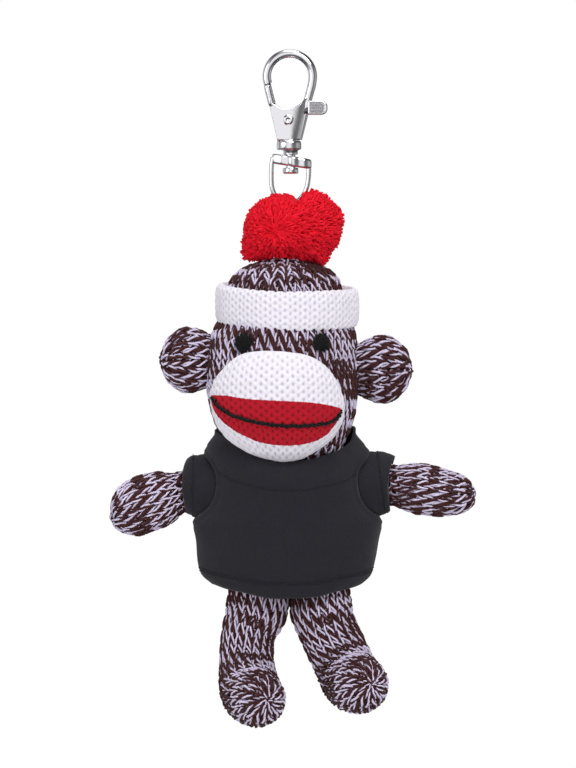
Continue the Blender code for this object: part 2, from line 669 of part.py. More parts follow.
def make_pompom(head_envelope):
    rings = [[Vector((POMPOM_X, 0, POMPOM_Z - POMPOM_HALF_HEIGHT))]]
    for i in range(1, POMPOM_RINGS):
        low = pi * i / POMPOM_RINGS
        ring = []
        for j in range(POMPOM_SIDES):
            a = 2 * pi * j / POMPOM_SIDES
            lump = 1 + POMPOM_LUMP_SHARE * sin(POMPOM_LUMPS * a + POMPOM_TWIST * low) * sin(low)
            ring.append(Vector((
                POMPOM_X + POMPOM_HALF_WIDTH * lump * sin(low) * cos(a),
                POMPOM_HALF_DEPTH * lump * sin(low) * sin(a),
                POMPOM_Z - POMPOM_HALF_HEIGHT * cos(low),
            )))
        rings.append(ring)
    rings.append([Vector((POMPOM_X, 0, POMPOM_Z + POMPOM_HALF_HEIGHT))])
    pompom = ring_object("pompom", rings)

    well_radius = CORD_BEND + CORD_RADIUS + 2 * TIE_RADIUS + 2 * GAP
    foot = POMPOM_Z - POMPOM_HALF_HEIGHT - CUT_OVERRUN
    head_room = HANG_Z + CORD_BEND + CORD_RADIUS + GAP
    well = cutter(drum("well_cutter", well_radius, foot, head_room, (HANG_X, 0, 0), sides=BORE_SIDES))
    low = HANG_Z - SWIVEL_WIRE_RADIUS - GAP
    high = POMPOM_Z + POMPOM_HALF_HEIGHT + CUT_OVERRUN
    mouth = (high - HANG_Z) * sin(LOOP_SWING) / cos(LOOP_SWING) + SWIVEL_WIRE_RADIUS + 2 * GAP
    floor = SWIVEL_WIRE_RADIUS + 2 * GAP
    reach = STRAP_HALF_LENGTH + GAP
    corners = [(-floor, low), (floor, low), (mouth, high), (-mouth, high)]
    rings = [[Vector((HANG_X + x, y, z)) for y, z in corners] for x in (-reach, reach)]
    cleft = cutter(ring_object("cleft_cutter", rings, capped=True))
    cut(pompom, well, cleft, head_envelope)
    red_yarn(pompom)

    waist = CORD_BEND + CORD_RADIUS + GAP + TIE_RADIUS
    angles = [2 * pi * i / TIE_SIDES for i in range(TIE_SIDES)]
    route = [Vector((HANG_X + waist * cos(a), waist * sin(a), POMPOM_Z)) for a in angles]
    tie = wire("pompom_tie", route, TIE_RADIUS, resolution=1, cyclic=True)
    red_yarn(tie)


def head_rings(inset, sides, top, bottom, every=1):
    """Rings down the head between two heights, drawn in by inset; every 2 takes each second level."""
    levels = [HEAD_TOP - share * HEAD_HEIGHT for share, _ in HEAD_PROFILE_SHARES[::every]]
    levels = [top] + [z for z in levels if bottom < z < top] + [bottom]
    angles = [2 * pi * i / sides for i in range(sides)]
    return [[on_head(a, z, -inset) for a in angles] for z in levels]


def make_head():
    bottom = HEAD_TOP - HEAD_HEIGHT
    outer = head_rings(0, HEAD_SIDES, HEAD_TOP, bottom)
    inner = head_rings(KNIT, HEAD_SIDES, HEAD_TOP - KNIT, bottom, 2)
    skin = ring_object(
        "head", [[Vector((HEAD_X, 0, HEAD_TOP))]] + outer + inner[::-1] + [[Vector((HEAD_X, 0, HEAD_TOP - KNIT))]]
    )
    hole = cutter(drum(
        "crown_cutter", CROWN_HOLE_RADIUS, HEAD_TOP - 2 * KNIT, HEAD_TOP + CUT_OVERRUN, (HANG_X, 0, 0), sides=BORE_SIDES
    ))
    cut(skin, hole)
    marl(skin)
    core_top = HEAD_TOP - KNIT - GAP
    core = head_rings(KNIT + GAP, CORE_SIDES, core_top, bottom, 2)
    stuffing = ring_object("head_stuffing", [[Vector((HEAD_X, 0, core_top))]] + core + [[Vector((HEAD_X, 0, bottom))]])
    filling(stuffing)


def make_head_envelope():
    """The head's outside grown by the gap, to cut what sits against it."""
    bottom = HEAD_TOP - HEAD_HEIGHT
    rings = head_rings(-GAP, HEAD_SIDES, HEAD_TOP + GAP, bottom - GAP)
    poles = [[Vector((HEAD_X, 0, HEAD_TOP + GAP))], [Vector((HEAD_X, 0, bottom - GAP))]]
    return cutter(ring_object("head_envelope", [poles[0], *rings, poles[1]]))


def make_hat_band():
    rings = []
    for i in range(HEAD_SIDES):
        turn = 2 * pi * i / HEAD_SIDES
        middle = BAND_MIDDLE - BAND_DIP * cos(turn)
        ring = []
        for j in range(BAND_SECTION_STEPS):
            a = 2 * pi * j / BAND_SECTION_STEPS
            up = abs(sin(a)) ** BAND_EDGE_POWER * (1 if sin(a) > 0 else -1)
            out = (1 + abs(cos(a)) ** BAND_FACE_POWER * (1 if cos(a) > 0 else -1)) / 2
            z = middle + up * BAND_HEIGHT / 2
            ring.append(on_head(turn, z, GAP + out * BAND_THICKNESS))
        rings.append(ring)
    band = ring_object("hat_band", rings, closed=True)
    white_knit(band)


def muzzle_point(across, up, out):
    """A point over the head's front: across and up run from -1 to 1, and out is off the head."""
    turn = FACE_TURN + MUZZLE_HALF_TURN * across
    z = MUZZLE_Z + MUZZLE_HALF_HEIGHT * up - MUZZLE_DROP * across + MUZZLE_LIFT * across * across
    return on_head(turn, z, out)


def muzzle_height(share):
    """How far the dome stands out at a share of its half size; it falls steeply to its edge."""
    dome = sqrt(max(1 - share ** 2.6, 0))
    return MUZZLE_BULGE * (MUZZLE_EDGE_SHARE + (1 - MUZZLE_EDGE_SHARE) * dome)


def muzzle_rings(shares, sides, extra, shrink):
    """Rings over the dome from its middle out, extra above it and drawn in by a share."""
    rings = [[muzzle_point(0, 0, muzzle_height(0) + extra)]]
    for share in shares:
        ring = []
        for i in range(sides):
            a = 2 * pi * i / sides
            reach = share * shrink
            ring.append(muzzle_point(reach * cos(a), reach * sin(a), muzzle_height(share) + extra))
        rings.append(ring)
    return rings


def muzzle_seat(share, sides):
    """A ring of the dome's back, on the head's surface."""
    angles = [2 * pi * i / sides for i in range(sides)]
    return [muzzle_point(share * cos(a), share * sin(a), GAP) for a in angles]


def make_muzzle():
    narrow = 1 - KNIT / MUZZLE_HALF_HEIGHT
    outer = muzzle_rings(MUZZLE_RING_SHARES, MUZZLE_SIDES, GAP, 1)
    inner = muzzle_rings(MUZZLE_RING_SHARES[:-1], MUZZLE_SIDES, GAP - KNIT, narrow)
    edge = [muzzle_seat(1, MUZZLE_SIDES), muzzle_seat(narrow, MUZZLE_SIDES)]
    skin = ring_object("muzzle", outer + edge + inner[::-1])
    white_knit(skin)

    slim = 1 - (KNIT + GAP) / MUZZLE_HALF_HEIGHT
    core = muzzle_rings(MUZZLE_RING_SHARES[:-1], MUZZLE_CORE_SIDES, -KNIT, slim)
    back = [muzzle_seat(slim * share, MUZZLE_CORE_SIDES) for share in MUZZLE_RING_SHARES[-2::-1]]
    stuffing = ring_object("muzzle_stuffing", core + back + [[muzzle_point(0, 0, GAP)]])
    filling(stuffing)


def make_mouth():
    lift = GAP + MOUTH_THREAD_RADIUS
    route = []
    for (x0, z0), (x1, z1) in zip(MOUTH_LINE_SHARES, MOUTH_LINE_SHARES[1:]):
        for step in (0, 0.5):
            across = x0 + (x1 - x0) * step
            up = z0 + (z1 - z0) * step
            route.append(muzzle_point(across, up, muzzle_height(hypot(across, up)) + GAP + lift))
    across, up = MOUTH_LINE_SHARES[-1]
    route.append(muzzle_point(across, up, muzzle_height(hypot(across, up)) + GAP + lift))
    thread = wire("mouth_stitch", route, MOUTH_THREAD_RADIUS, resolution=1)
    black_yarn(thread)


def make_eyes():
    for name, turn in EYE_TURNS:
        reach = asin(EYE_RADIUS / HEAD_RADIUS)
        rings = [[on_head(turn, EYE_Z, GAP + EYE_BULGE)]]
        for share in EYE_RING_SHARES:
            angles = [2 * pi * i / EYE_SIDES for i in range(EYE_SIDES)]
            out = GAP + EYE_BULGE * sqrt(1 - share * share * EYE_ROUND_SHARE)
            rings.append([
                on_head(turn + reach * share * cos(a), EYE_Z + EYE_RADIUS * share * sin(a), out) for a in angles
            ])
        for share in (EYE_RING_SHARES[-1], EYE_RING_SHARES[0]):
            rings.append([
                on_head(turn + reach * share * cos(a), EYE_Z + EYE_RADIUS * share * sin(a), GAP) for a in angles
            ])
        rings.append([on_head(turn, EYE_Z, GAP)])
        eye = ring_object(name, rings)
        black_yarn(eye)


def ear_rings(sign, middle, sides, inset):
    """Rings from the ear's outer edge in to the head, whose side the last one follows."""
    shrink_z = EAR_HALF_HEIGHT - inset
    shrink_y = EAR_HALF_DEPTH - inset
    start = HEAD_RADIUS + EAR_REACH - inset
    rings = [[Vector((HEAD_X + sign * start, 0, middle))]]
    for out, size in EAR_PROFILE_SHARES[1:]:
        ring = []
        for i in range(sides):
            a = 2 * pi * i / sides
            y = shrink_y * size * cos(a)
            z = middle + shrink_z * size * sin(a)
            seat = sqrt((head_radius(z) + GAP) ** 2 - y * y)
            ring.append(Vector((HEAD_X + sign * (seat + out * (start - seat)), y, z)))
        rings.append(ring)
    return rings


def make_ears():
    for name, sign, middle in EARS:
        outer = ear_rings(sign, middle, EAR_SIDES, 0)
        inner = ear_rings(sign, middle, EAR_SIDES, KNIT)
        skin = ring_object(name, outer + inner[::-1])
        core = ear_rings(sign, middle, EAR_SIDES - CORE_FEWER_SIDES, KNIT + GAP)
        seat = Vector((HEAD_X + sign * (head_radius(middle) + GAP), 0, middle))
        stuffing = ring_object(name + "_stuffing", core + [[seat]])
        marl(skin)
        filling(stuffing)


# Shapes of the body


def shirt_point(turn, z, inset):
    half_width = between(z, SHIRT_LEVELS, SHIRT_HALF_WIDTHS) - inset
    half_depth = between(z, SHIRT_LEVELS, SHIRT_HALF_DEPTHS) - inset
    centre = between(z, SHIRT_LEVELS, SHIRT_CENTRES)
    return Vector((centre + half_width * sin(turn), -half_depth * cos(turn), z))


def collar_edge(turn):
    """The collar's height at a turn from the front; it is low in front, for the muzzle to pass."""
    from_front = abs(atan2(sin(turn), cos(turn)))
    return between(from_front, COLLAR_TURNS, COLLAR_EDGES)


def hem_edge(turn):
    drop = HEM_FRONT_DROP if cos(turn) > 0 else HEM_BACK_DROP
    return HEM_SIDE - drop * cos(turn) ** 2


def shirt_heights(turn):
    edge = collar_edge(turn)
    upper = [edge + share * (COLLAR_FOOT - edge) for share in COLLAR_STEP_SHARES]
    hem = hem_edge(turn)
    return upper + [COLLAR_FOOT + share * (hem - COLLAR_FOOT) for share in SHIRT_LEVEL_SHARES]


def make_shirt_body(sockets):
    turns = [2 * pi * i / SHIRT_SIDES for i in range(SHIRT_SIDES)]
    columns = [shirt_heights(turn) for turn in turns]
    count = len(columns[0])
    outer = [[shirt_point(turns[i], columns[i][row], 0) for i in range(SHIRT_SIDES)] for row in range(count)]
    inner = [[shirt_point(turns[i], columns[i][row], SHIRT_WALL) for i in range(SHIRT_SIDES)] for row in range(count)]
    shirt = ring_object("shirt_body", outer + inner[::-1], closed=True)
    cut(shirt, *sockets)
    jersey(shirt)


def torso_rings(sides, inset, every=1):
    """Rings down the torso: inside the shirt, drawn in at the neck and the seat."""
    rings = []
    for down, size in TORSO_PROFILE_SHARES[::every]:
        z = NECK_SEAM - down * TORSO_HEIGHT
        centre = Vector((between(z, SHIRT_LEVELS, SHIRT_CENTRES), 0, z))
        ring = []
        for i in range(sides):
            radial = shirt_point(2 * pi * i / sides, z, SHIRT_WALL + GAP) - centre
            ring.append(centre + radial * size - radial.normalized() * inset)
        rings.append(ring)
    return rings


def make_torso(sockets):
    outer = torso_rings(TORSO_SIDES, 0)
    inner = torso_rings(TORSO_SIDES, KNIT, 2)
    centre = between(TORSO_BOTTOM, SHIRT_LEVELS, SHIRT_CENTRES)
    foot = Vector((centre, 0, TORSO_BOTTOM))
    raised = Vector((0, 0, KNIT))
    inside = inner[:-1] + [[point + raised for point in inner[-1]], [foot + raised]]
    skin = ring_object("torso", [[foot]] + outer[::-1] + inside)
    cut(skin, *sockets)
    marl(skin)

    core = torso_rings(CORE_SIDES, KNIT + GAP, 2)
    raised = Vector((0, 0, KNIT + GAP))
    top = Vector((between(NECK_SEAM, SHIRT_LEVELS, SHIRT_CENTRES), 0, NECK_SEAM))
    stuffing = ring_object(
        "torso_stuffing", [[top]] + core[:-1] + [[point + raised for point in core[-1]], [foot + raised]]
    )
    cut(stuffing, *sockets)
    filling(stuffing)


def arm_stations(side):
    start = shoulder(side)
    stations = []
    for out, up, size in ARM_STATION_SHARES[side]:
        centre = start + Vector((SIGNS[side] * out * ARM_LENGTH, 0, up * ARM_LENGTH))
        stations.append((centre, size * ARM_RADIUS))
    return stations


def make_arm(side):
    stuffed_limb(side + "_arm", arm_stations(side), ARM_SIDES, shoulder(side))


def make_sleeve(side):
    start = shoulder(side)
    centres = arm_stations(side)
    places = [abs(centre.x - start.x) * (1 if (centre.x - start.x) * SIGNS[side] > 0 else -1) for centre, _ in centres]
    heights = [centre.z for centre, _ in centres]
    stations = []
    for out, size in [(SLEEVE_LEAD_SHARE, 0), *SLEEVE_STATION_SHARES]:
        reach = out * SHOULDER_BALL
        z = between(reach, places, heights)
        stations.append((Vector((start.x + SIGNS[side] * reach, 0, z)), size * SHOULDER_BALL))
    outer = limb_rings(stations, SLEEVE_SIDES, 0)[1:]
    inner = limb_rings(stations, SLEEVE_SIDES, SHIRT_WALL)[1:]
    sleeve = ring_object(side + "_sleeve", outer + inner[::-1], closed=True, origin=start)
    jersey(sleeve)


def make_leg(side):
    start = hip(side)
    stations = []
    for across, forward, down, size in LEG_STATION_SHARES[side]:
        centre = start + Vector((across * LEG_LENGTH, -forward * LEG_LENGTH, -down * LEG_LENGTH))
        stations.append((centre, size * LEG_RADIUS))
    stuffed_limb(side + "_leg", stations, LEG_SIDES, start)


make_hook_body()
make_gate_lever()
make_gate_pin()
make_gate_spring()
make_swivel_stud()
make_swivel_loop()

envelope = make_head_envelope()
make_hanger_loop()
make_pompom(envelope)
make_head()
make_hat_band()
make_muzzle()
make_mouth()
make_eyes()
make_ears()

shoulder_sockets = [
    cutter(ball(side + "_shoulder_socket", shoulder(side), SHOULDER_BALL + GAP)) for side in SIGNS
]
hip_sockets = [cutter(ball(side + "_hip_socket", hip(side), HIP_BALL + GAP)) for side in SIGNS]
make_shirt_body(shoulder_sockets)
make_torso(shoulder_sockets + hip_sockets)
for side in SIGNS:
    make_arm(side)
    make_sleeve(side)
    make_leg(side)
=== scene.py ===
# %% [markdown]
# # A knitted sock monkey on a swivel snap hook
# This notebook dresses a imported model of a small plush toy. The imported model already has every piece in
# its place and at its size, so each cell below adds what the eye looks for: yarn, stitches, cloth, a
# pompom and polished metal. All lengths are in metres, +Z is up, and the face looks towards -Y.

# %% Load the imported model
import math
import random

import bpy
import numpy as np
from mathutils import Matrix, Vector


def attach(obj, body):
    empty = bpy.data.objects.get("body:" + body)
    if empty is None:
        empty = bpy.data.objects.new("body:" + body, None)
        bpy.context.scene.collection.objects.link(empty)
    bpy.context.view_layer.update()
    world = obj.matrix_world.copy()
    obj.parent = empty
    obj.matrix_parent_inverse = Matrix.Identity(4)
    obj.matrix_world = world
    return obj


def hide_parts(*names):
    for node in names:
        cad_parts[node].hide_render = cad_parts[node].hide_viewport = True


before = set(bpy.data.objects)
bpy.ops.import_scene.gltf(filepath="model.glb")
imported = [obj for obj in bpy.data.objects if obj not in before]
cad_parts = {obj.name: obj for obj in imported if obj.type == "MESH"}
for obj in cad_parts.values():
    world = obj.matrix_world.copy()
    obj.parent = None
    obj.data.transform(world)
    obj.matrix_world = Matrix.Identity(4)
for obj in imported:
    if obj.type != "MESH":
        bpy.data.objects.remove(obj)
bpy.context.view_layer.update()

# %% [markdown]
# ## The camera
# The photograph looks straight at the face from far away, so the camera looks along +Y through a long
# lens. A short lens would make the near pompom and feet too large against the head. The view is 192 mm
# high at the doll, which gives a quarter of a millimetre for each pixel of a picture 768 pixels high.

# %% Camera
CAMERA_DISTANCE = 2.5
VIEW_HEIGHT = 0.192
VIEW_CENTRE = Vector((-0.00025, 0, -0.0816))
SENSOR_HEIGHT = 24

camera_data = bpy.data.cameras.new("camera")
camera_data.sensor_fit = "VERTICAL"
camera_data.sensor_height = SENSOR_HEIGHT
camera_data.lens = SENSOR_HEIGHT * CAMERA_DISTANCE / VIEW_HEIGHT
camera_data.clip_start = 0.01
camera_data.clip_end = 50
camera = bpy.data.objects.new("camera", camera_data)
camera.location = VIEW_CENTRE + Vector((0, -CAMERA_DISTANCE, 0))
camera.rotation_euler = (math.radians(90), 0, 0)
bpy.context.scene.collection.objects.link(camera)
bpy.context.scene.camera = camera
bpy.context.scene.view_settings.view_transform = "Standard"
print("lens", round(camera_data.lens, 1), "mm")

# %% [markdown]
# ## Writing nodes as sums
# A material or a geometry tree is a list of small sums, and drawing each as a node hides the idea. The
# class below wraps a socket, so that `1 - mask` or `a * b + c` adds the Math nodes by itself. Every
# other node comes from one method that takes the node's type, its settings and the values of its sockets.

# %% Sockets that can be added and multiplied
class Wire:
    """A socket that takes part in Python sums."""

    def __init__(self, sheet, socket):
        self.sheet = sheet
        self.socket = socket

    def sum(self, operation, *values):
        return self.sheet.node("ShaderNodeMath", {"operation": operation}, dict(enumerate(values)))

    def __add__(self, other):
        return self.sum("ADD", self, other)

    def __radd__(self, other):
        return self.sum("ADD", other, self)

    def __sub__(self, other):
        return self.sum("SUBTRACT", self, other)

    def __rsub__(self, other):
        return self.sum("SUBTRACT", other, self)

    def __mul__(self, other):
        return self.sum("MULTIPLY", self, other)

    def __rmul__(self, other):
        return self.sum("MULTIPLY", other, self)

    def __truediv__(self, other):
        return self.sum("DIVIDE", self, other)

    def __rtruediv__(self, other):
        return self.sum("DIVIDE", other, self)

    def __pow__(self, other):
        return self.sum("POWER", self, other)

    def sine(self):
        return self.sum("SINE", self)

    def cosine(self):
        return self.sum("COSINE", self)

    def clipped(self):
        return self.sheet.node("ShaderNodeClamp", {}, {0: self})


class Sheet:
    """A node tree, written line by line."""

    def __init__(self, tree):
        self.tree = tree

    def node(self, kind, settings=None, values=None, out=0):
        made = self.tree.nodes.new(kind)
        for name, value in (settings or {}).items():
            if name == "stops":
                ramp = made.color_ramp
                ramp.elements[0].position, ramp.elements[1].position = value[0][0], value[-1][0]
                for place, _ in value[1:-1]:
                    ramp.elements.new(place)
                for stop, (_, colour) in zip(sorted(ramp.elements, key=lambda e: e.position), value):
                    stop.color = (*colour, 1)
            else:
                setattr(made, name, value)
        for key, value in (values or {}).items():
            if isinstance(value, Wire):
                self.tree.links.new(value.socket, made.inputs[key])
            elif isinstance(value, (tuple, list)) and len(value) == 3 and len(
                made.inputs[key].default_value
            ) == 4:
                made.inputs[key].default_value = (*value, 1)
            else:
                made.inputs[key].default_value = value
        return Wire(self, made.outputs[out])

    def vector(self, operation, *values, out=0):
        return self.node("ShaderNodeVectorMath", {"operation": operation}, dict(enumerate(values)), out)

    def scaled(self, vector, number):
        return self.node("ShaderNodeVectorMath", {"operation": "SCALE"}, {0: vector, "Scale": number})

    def mixed(self, factor, first, second, blend="MIX"):
        settings = {"data_type": "RGBA", "blend_type": blend}
        return self.node("ShaderNodeMix", settings, {0: factor, 6: first, 7: second}, out=2)

    def ramp(self, factor, stops):
        return self.node("ShaderNodeValToRGB", {"stops": stops}, {0: factor})

    def noise(self, scale, detail=2.0, where=None, out=0):
        values = {"Scale": scale, "Detail": detail}
        if where is not None:
            values["Vector"] = where
        return self.node("ShaderNodeTexNoise", {}, values, out)

    def attribute(self, name, out=2):
        return self.node("ShaderNodeAttribute", {"attribute_name": name}, out=out)

    def finish(self, kind, wire):
        end = self.tree.nodes.new(kind)
        self.tree.links.new(wire.socket, end.inputs[0])


print("wires ready")

# %% [markdown]
# ## Studio light
# The photograph is a catalogue picture: soft light from above and in front, and a white ground without a
# visible shadow. Large area lamps give the soft light. The world is white to the camera and to polished
# metal. Metal that mirrors nothing but white looks like paper, so for mirrored rays the world has grey
# bands, as a photographer's dark cards give: one all round the camera, which draws the edge of every
# round wire, narrow ones at the sides, a softer one above, and a dark ring on the floor.

# %% World, floor and lamps
CARD_GREYS = {
    "round": [
        (0.0, 1.0), (0.20, 0.97), (0.34, 0.85), (0.45, 0.50), (0.52, 0.34), (0.60, 0.45), (0.70, 0.80),
        (0.80, 0.92),
        (1.0, 0.72),
    ],
    "side": [
        (0.0, 0.78), (0.12, 0.95), (0.20, 0.32), (0.27, 0.28), (0.34, 0.85), (0.46, 1.0), (0.60, 0.96),
        (0.66, 0.66),
        (0.73, 0.26), (0.84, 0.13), (0.94, 0.20), (0.975, 0.60), (1.0, 0.90),
    ],
    "high": [(0.40, 0.85), (0.50, 1.0), (0.62, 0.97), (0.74, 0.80), (0.84, 0.50), (0.92, 0.70), (1.0, 0.95)],
}


def card(sheet, way, name):
    """A grey card: how bright the studio is from one side of a direction to the other."""
    return sheet.ramp(
        way * 0.5 + 0.5, [(place, (grey, grey, grey * 1.01)) for place, grey in CARD_GREYS[name]]
    )


def make_world():
    world = bpy.data.worlds.new("studio")
    world.use_nodes = True
    world.node_tree.nodes.clear()
    sheet = Sheet(world.node_tree)
    ray = "ShaderNodeLightPath"
    camera_ray = sheet.node(ray, out="Is Camera Ray")
    glossy_ray = sheet.node(ray, out="Is Glossy Ray")
    clear_ray = sheet.node(ray, out="Is Transmission Ray")
    towards = sheet.node("ShaderNodeTexCoord", out="Generated")
    sideways, depth, height = [
        sheet.node("ShaderNodeSeparateXYZ", values={0: towards}, out=i) for i in range(3)
    ]
    cards = [
        card(sheet, way, name) for way, name in ((depth, "round"), (sideways, "side"), (height, "high"))
    ]
    mirrored = sheet.mixed(1.0, sheet.mixed(1.0, cards[0], cards[1], "MULTIPLY"), cards[2], "MULTIPLY")
    seen = sheet.node("ShaderNodeBackground", values={0: mirrored, 1: 1.0})
    white = sheet.node("ShaderNodeBackground", values={0: (1, 1, 1), 1: 1.0})
    light = sheet.node("ShaderNodeBackground", values={0: (0.98, 0.98, 1.0), 1: 0.40})
    metal = sheet.node(
        "ShaderNodeMixShader", values={0: (glossy_ray + clear_ray).clipped(), 1: light, 2: seen}
    )
    shown = sheet.node("ShaderNodeMixShader", values={0: camera_ray, 1: metal, 2: white})
    sheet.finish("ShaderNodeOutputWorld", shown)
    bpy.context.scene.world = world


def make_floor():
    """A wide pale floor under the view. Most of what the camera sees of it is plain white."""
    half = 6.0
    level = -0.205
    corners = [(-half, -half, level), (half, -half, level), (half, half, level), (-half, half, level)]
    mesh = bpy.data.meshes.new("floor")
    mesh.from_pydata(corners, [], [(0, 1, 2, 3)])
    floor = bpy.data.objects.new("floor", mesh)
    bpy.context.scene.collection.objects.link(floor)
    paint = bpy.data.materials.new("pale_floor")
    paint.use_nodes = True
    paint.node_tree.nodes.clear()
    sheet = Sheet(paint.node_tree)
    ray = "ShaderNodeLightPath"
    rays = sheet.node(ray, out="Is Camera Ray") + sheet.node(ray, out="Is Glossy Ray")
    rays = (rays + sheet.node(ray, out="Is Transmission Ray")).clipped()
    chalk = sheet.node("ShaderNodeBsdfDiffuse", values={0: (0.92, 0.92, 0.92)})
    place = sheet.node("ShaderNodeTexCoord", out="Object")
    far = sheet.vector("LENGTH", place, out="Value")
    way = sheet.vector("NORMALIZE", place)
    sideways, depth = [sheet.node("ShaderNodeSeparateXYZ", values={0: way}, out=i) for i in range(2)]
    cards = sheet.mixed(1.0, card(sheet, depth, "round"), card(sheet, sideways, "side"), "MULTIPLY")
    ring = sheet.ramp(far, [
        (0.0, (0.9, 0.9, 0.9)), (0.13, (0.80, 0.80, 0.80)), (0.22, (0.14, 0.14, 0.15)),
        (0.42, (0.10, 0.10, 0.11)),
        (0.55, (0.55, 0.55, 0.56)), (0.75, (1, 1, 1)),
    ])
    ring = sheet.mixed(1.0, ring, cards, "MULTIPLY")
    seen = sheet.mixed(sheet.node(ray, out="Is Glossy Ray"), (1, 1, 1), ring)
    white = sheet.node("ShaderNodeEmission", values={0: seen, 1: 1.04})
    sheet.finish(
        "ShaderNodeOutputMaterial",
        sheet.node("ShaderNodeMixShader", values={0: rays * 0.95, 1: chalk, 2: white})
    )
    mesh.materials.append(paint)


def soft_box(name, place, size, watts, colour=(1, 1, 1)):
    data = bpy.data.lights.new(name, "AREA")
    data.shape = "DISK"
    data.size = size
    data.energy = watts
    data.color = colour
    lamp = bpy.data.objects.new(name, data)
    lamp.location = place
    lamp.rotation_euler = (VIEW_CENTRE - Vector(place)).to_track_quat("-Z", "Y").to_euler()
    bpy.context.scene.collection.objects.link(lamp)


make_world()
make_floor()
soft_box("key", (0.42, -0.98, 0.66), 0.60, 6.0)
soft_box("fill", (-0.85, -0.80, 0.12), 0.80, 2.7)
soft_box("top", (0.05, -0.15, 0.95), 0.60, 3.4)

# %% [markdown]
# ## The yarn
# The body is knitted from a marl yarn: one dark red-brown ply and one pale ply, twisted together. A bump
# map of knitting looks flat at the outline, so each marl stitch here is a real strand. The white parts are
# brushed smooth, so a later cell makes them as one skin with the stitches pressed in. One material serves
# every yarn: it reads which ply a point belongs to and how far it is along the strand, and adds the
# fibres as fine grooves that run round the ply.

# %% Yarn material
def new_material(name):
    paint = bpy.data.materials.new(name)
    paint.use_nodes = True
    paint.node_tree.nodes.clear()
    return paint, Sheet(paint.node_tree)


LIP_TOP = [
    (-0.0192, -0.0843), (-0.0156, -0.08445), (-0.0108, -0.0852), (-0.0060, -0.08555), (-0.0013, -0.08575),
    (0.0035, -0.0860), (0.0083, -0.0865), (0.0126, -0.08755), (0.0132, -0.0880),
]
LIP_BOTTOM = [
    (-0.0195, -0.0854), (-0.0185, -0.0885), (-0.0166, -0.0909), (-0.0142, -0.0928), (-0.0108, -0.0947),
    (-0.0070, -0.0962), (-0.0022, -0.0969), (0.0016, -0.0969), (0.0054, -0.0962), (0.0083, -0.0950),
    (0.0107, -0.0928),
    (0.0124, -0.0900), (0.0132, -0.0880),
]
LIP_LEFT = -0.0210
LIP_WIDTH = 0.0350
LIP_LOW = -0.0980
LIP_HEIGHT = 0.0150


def edge_curve(sheet, across, table):
    """The height of one edge of the lips at a place across the muzzle, in metres."""
    made = sheet.tree.nodes.new("ShaderNodeFloatCurve")
    line = made.mapping.curves[0]
    rows = [((x - LIP_LEFT) / LIP_WIDTH, (z - LIP_LOW) / LIP_HEIGHT) for x, z in table]
    line.points[0].location, line.points[1].location = rows[0], rows[-1]
    for row in rows[1:-1]:
        line.points.new(*row)
    made.mapping.update()
    sheet.tree.links.new(across.socket, made.inputs["Value"])
    return Wire(sheet, made.outputs[0]) * LIP_HEIGHT + LIP_LOW


# The lips end where the muzzle turns away from the front: behind this slanted plane there are none
LIP_BACK = -0.0147
LIP_SLANT = 0.086


def lip_mask(sheet):
    """1 inside the lips, 0 outside, with an edge that wavers by a tenth of a millimetre."""
    where = sheet.node("ShaderNodeTexCoord", out="Object")
    x, y, z = [sheet.node("ShaderNodeSeparateXYZ", values={0: where}, out=i) for i in range(3)]
    waver = (sheet.noise(1700.0, 1.0, where) - 0.5) * 0.0005
    share = (x - LIP_LEFT) / LIP_WIDTH
    below_top = ((edge_curve(sheet, share, LIP_TOP) - z + waver) * 9000.0).clipped()
    above_low = ((z - edge_curve(sheet, share, LIP_BOTTOM) + waver) * 9000.0).clipped()
    right = ((share - 0.046) * 400.0).clipped() * ((0.975 - share) * 400.0).clipped()
    front = ((LIP_BACK - y - x * LIP_SLANT) * 2500.0).clipped()
    return below_top * above_low * right * front


def yarn_material(
    name, dark, pale, sheen, roughness=0.85, mottle=0.35, fibre=0.5, tint=None, glow=0.0, holes=0.0
):
    """Two plies of these colours; tint is a third colour inside the lips; glow lets light into the yarn."""
    paint, sheet = new_material(name)
    ply = sheet.attribute("ply")
    length = sheet.attribute("length")
    around = sheet.attribute("around")
    soft = sheet.noise(900.0, 3.0, sheet.node("ShaderNodeTexCoord", out="Object"))
    fine = sheet.noise(5200.0, 2.0, sheet.node("ShaderNodeTexCoord", out="Object"))
    base = sheet.mixed(ply, dark, pale)
    if tint is not None:
        base = sheet.mixed(lip_mask(sheet), base, tint)
    # The hole attribute, times holes, darkens the colour in the knitting's holes: painted shade. The two
    # noises are the yarn's own mottle.
    shade = (soft - 0.5) * mottle + 1.0 + (fine - 0.5) * mottle - sheet.attribute("hole") * holes
    grey = sheet.node("ShaderNodeCombineXYZ", values={0: shade, 1: shade, 2: shade})
    colour = sheet.mixed(1.0, base, grey, "MULTIPLY")
    strands = (around * 37.7 + length * 11.0 + fine * 3.0).sine()
    bump = sheet.node(
        "ShaderNodeBump", values={"Strength": fibre, "Distance": 0.00008, "Height": strands * 0.5 + fine}
    )
    skin = sheet.node(
        "ShaderNodeBsdfPrincipled",
        values={
            "Base Color": colour, "Roughness": roughness, "Normal": bump, "Specular IOR Level": 0.25,
            "Sheen Weight": sheen, "Sheen Roughness": 0.5, "Subsurface Weight": glow,
            "Subsurface Scale": 0.0007,
            "Subsurface Radius": (1.0, 0.9, 0.9),
        },
    )
    sheet.finish("ShaderNodeOutputMaterial", skin)
    return paint


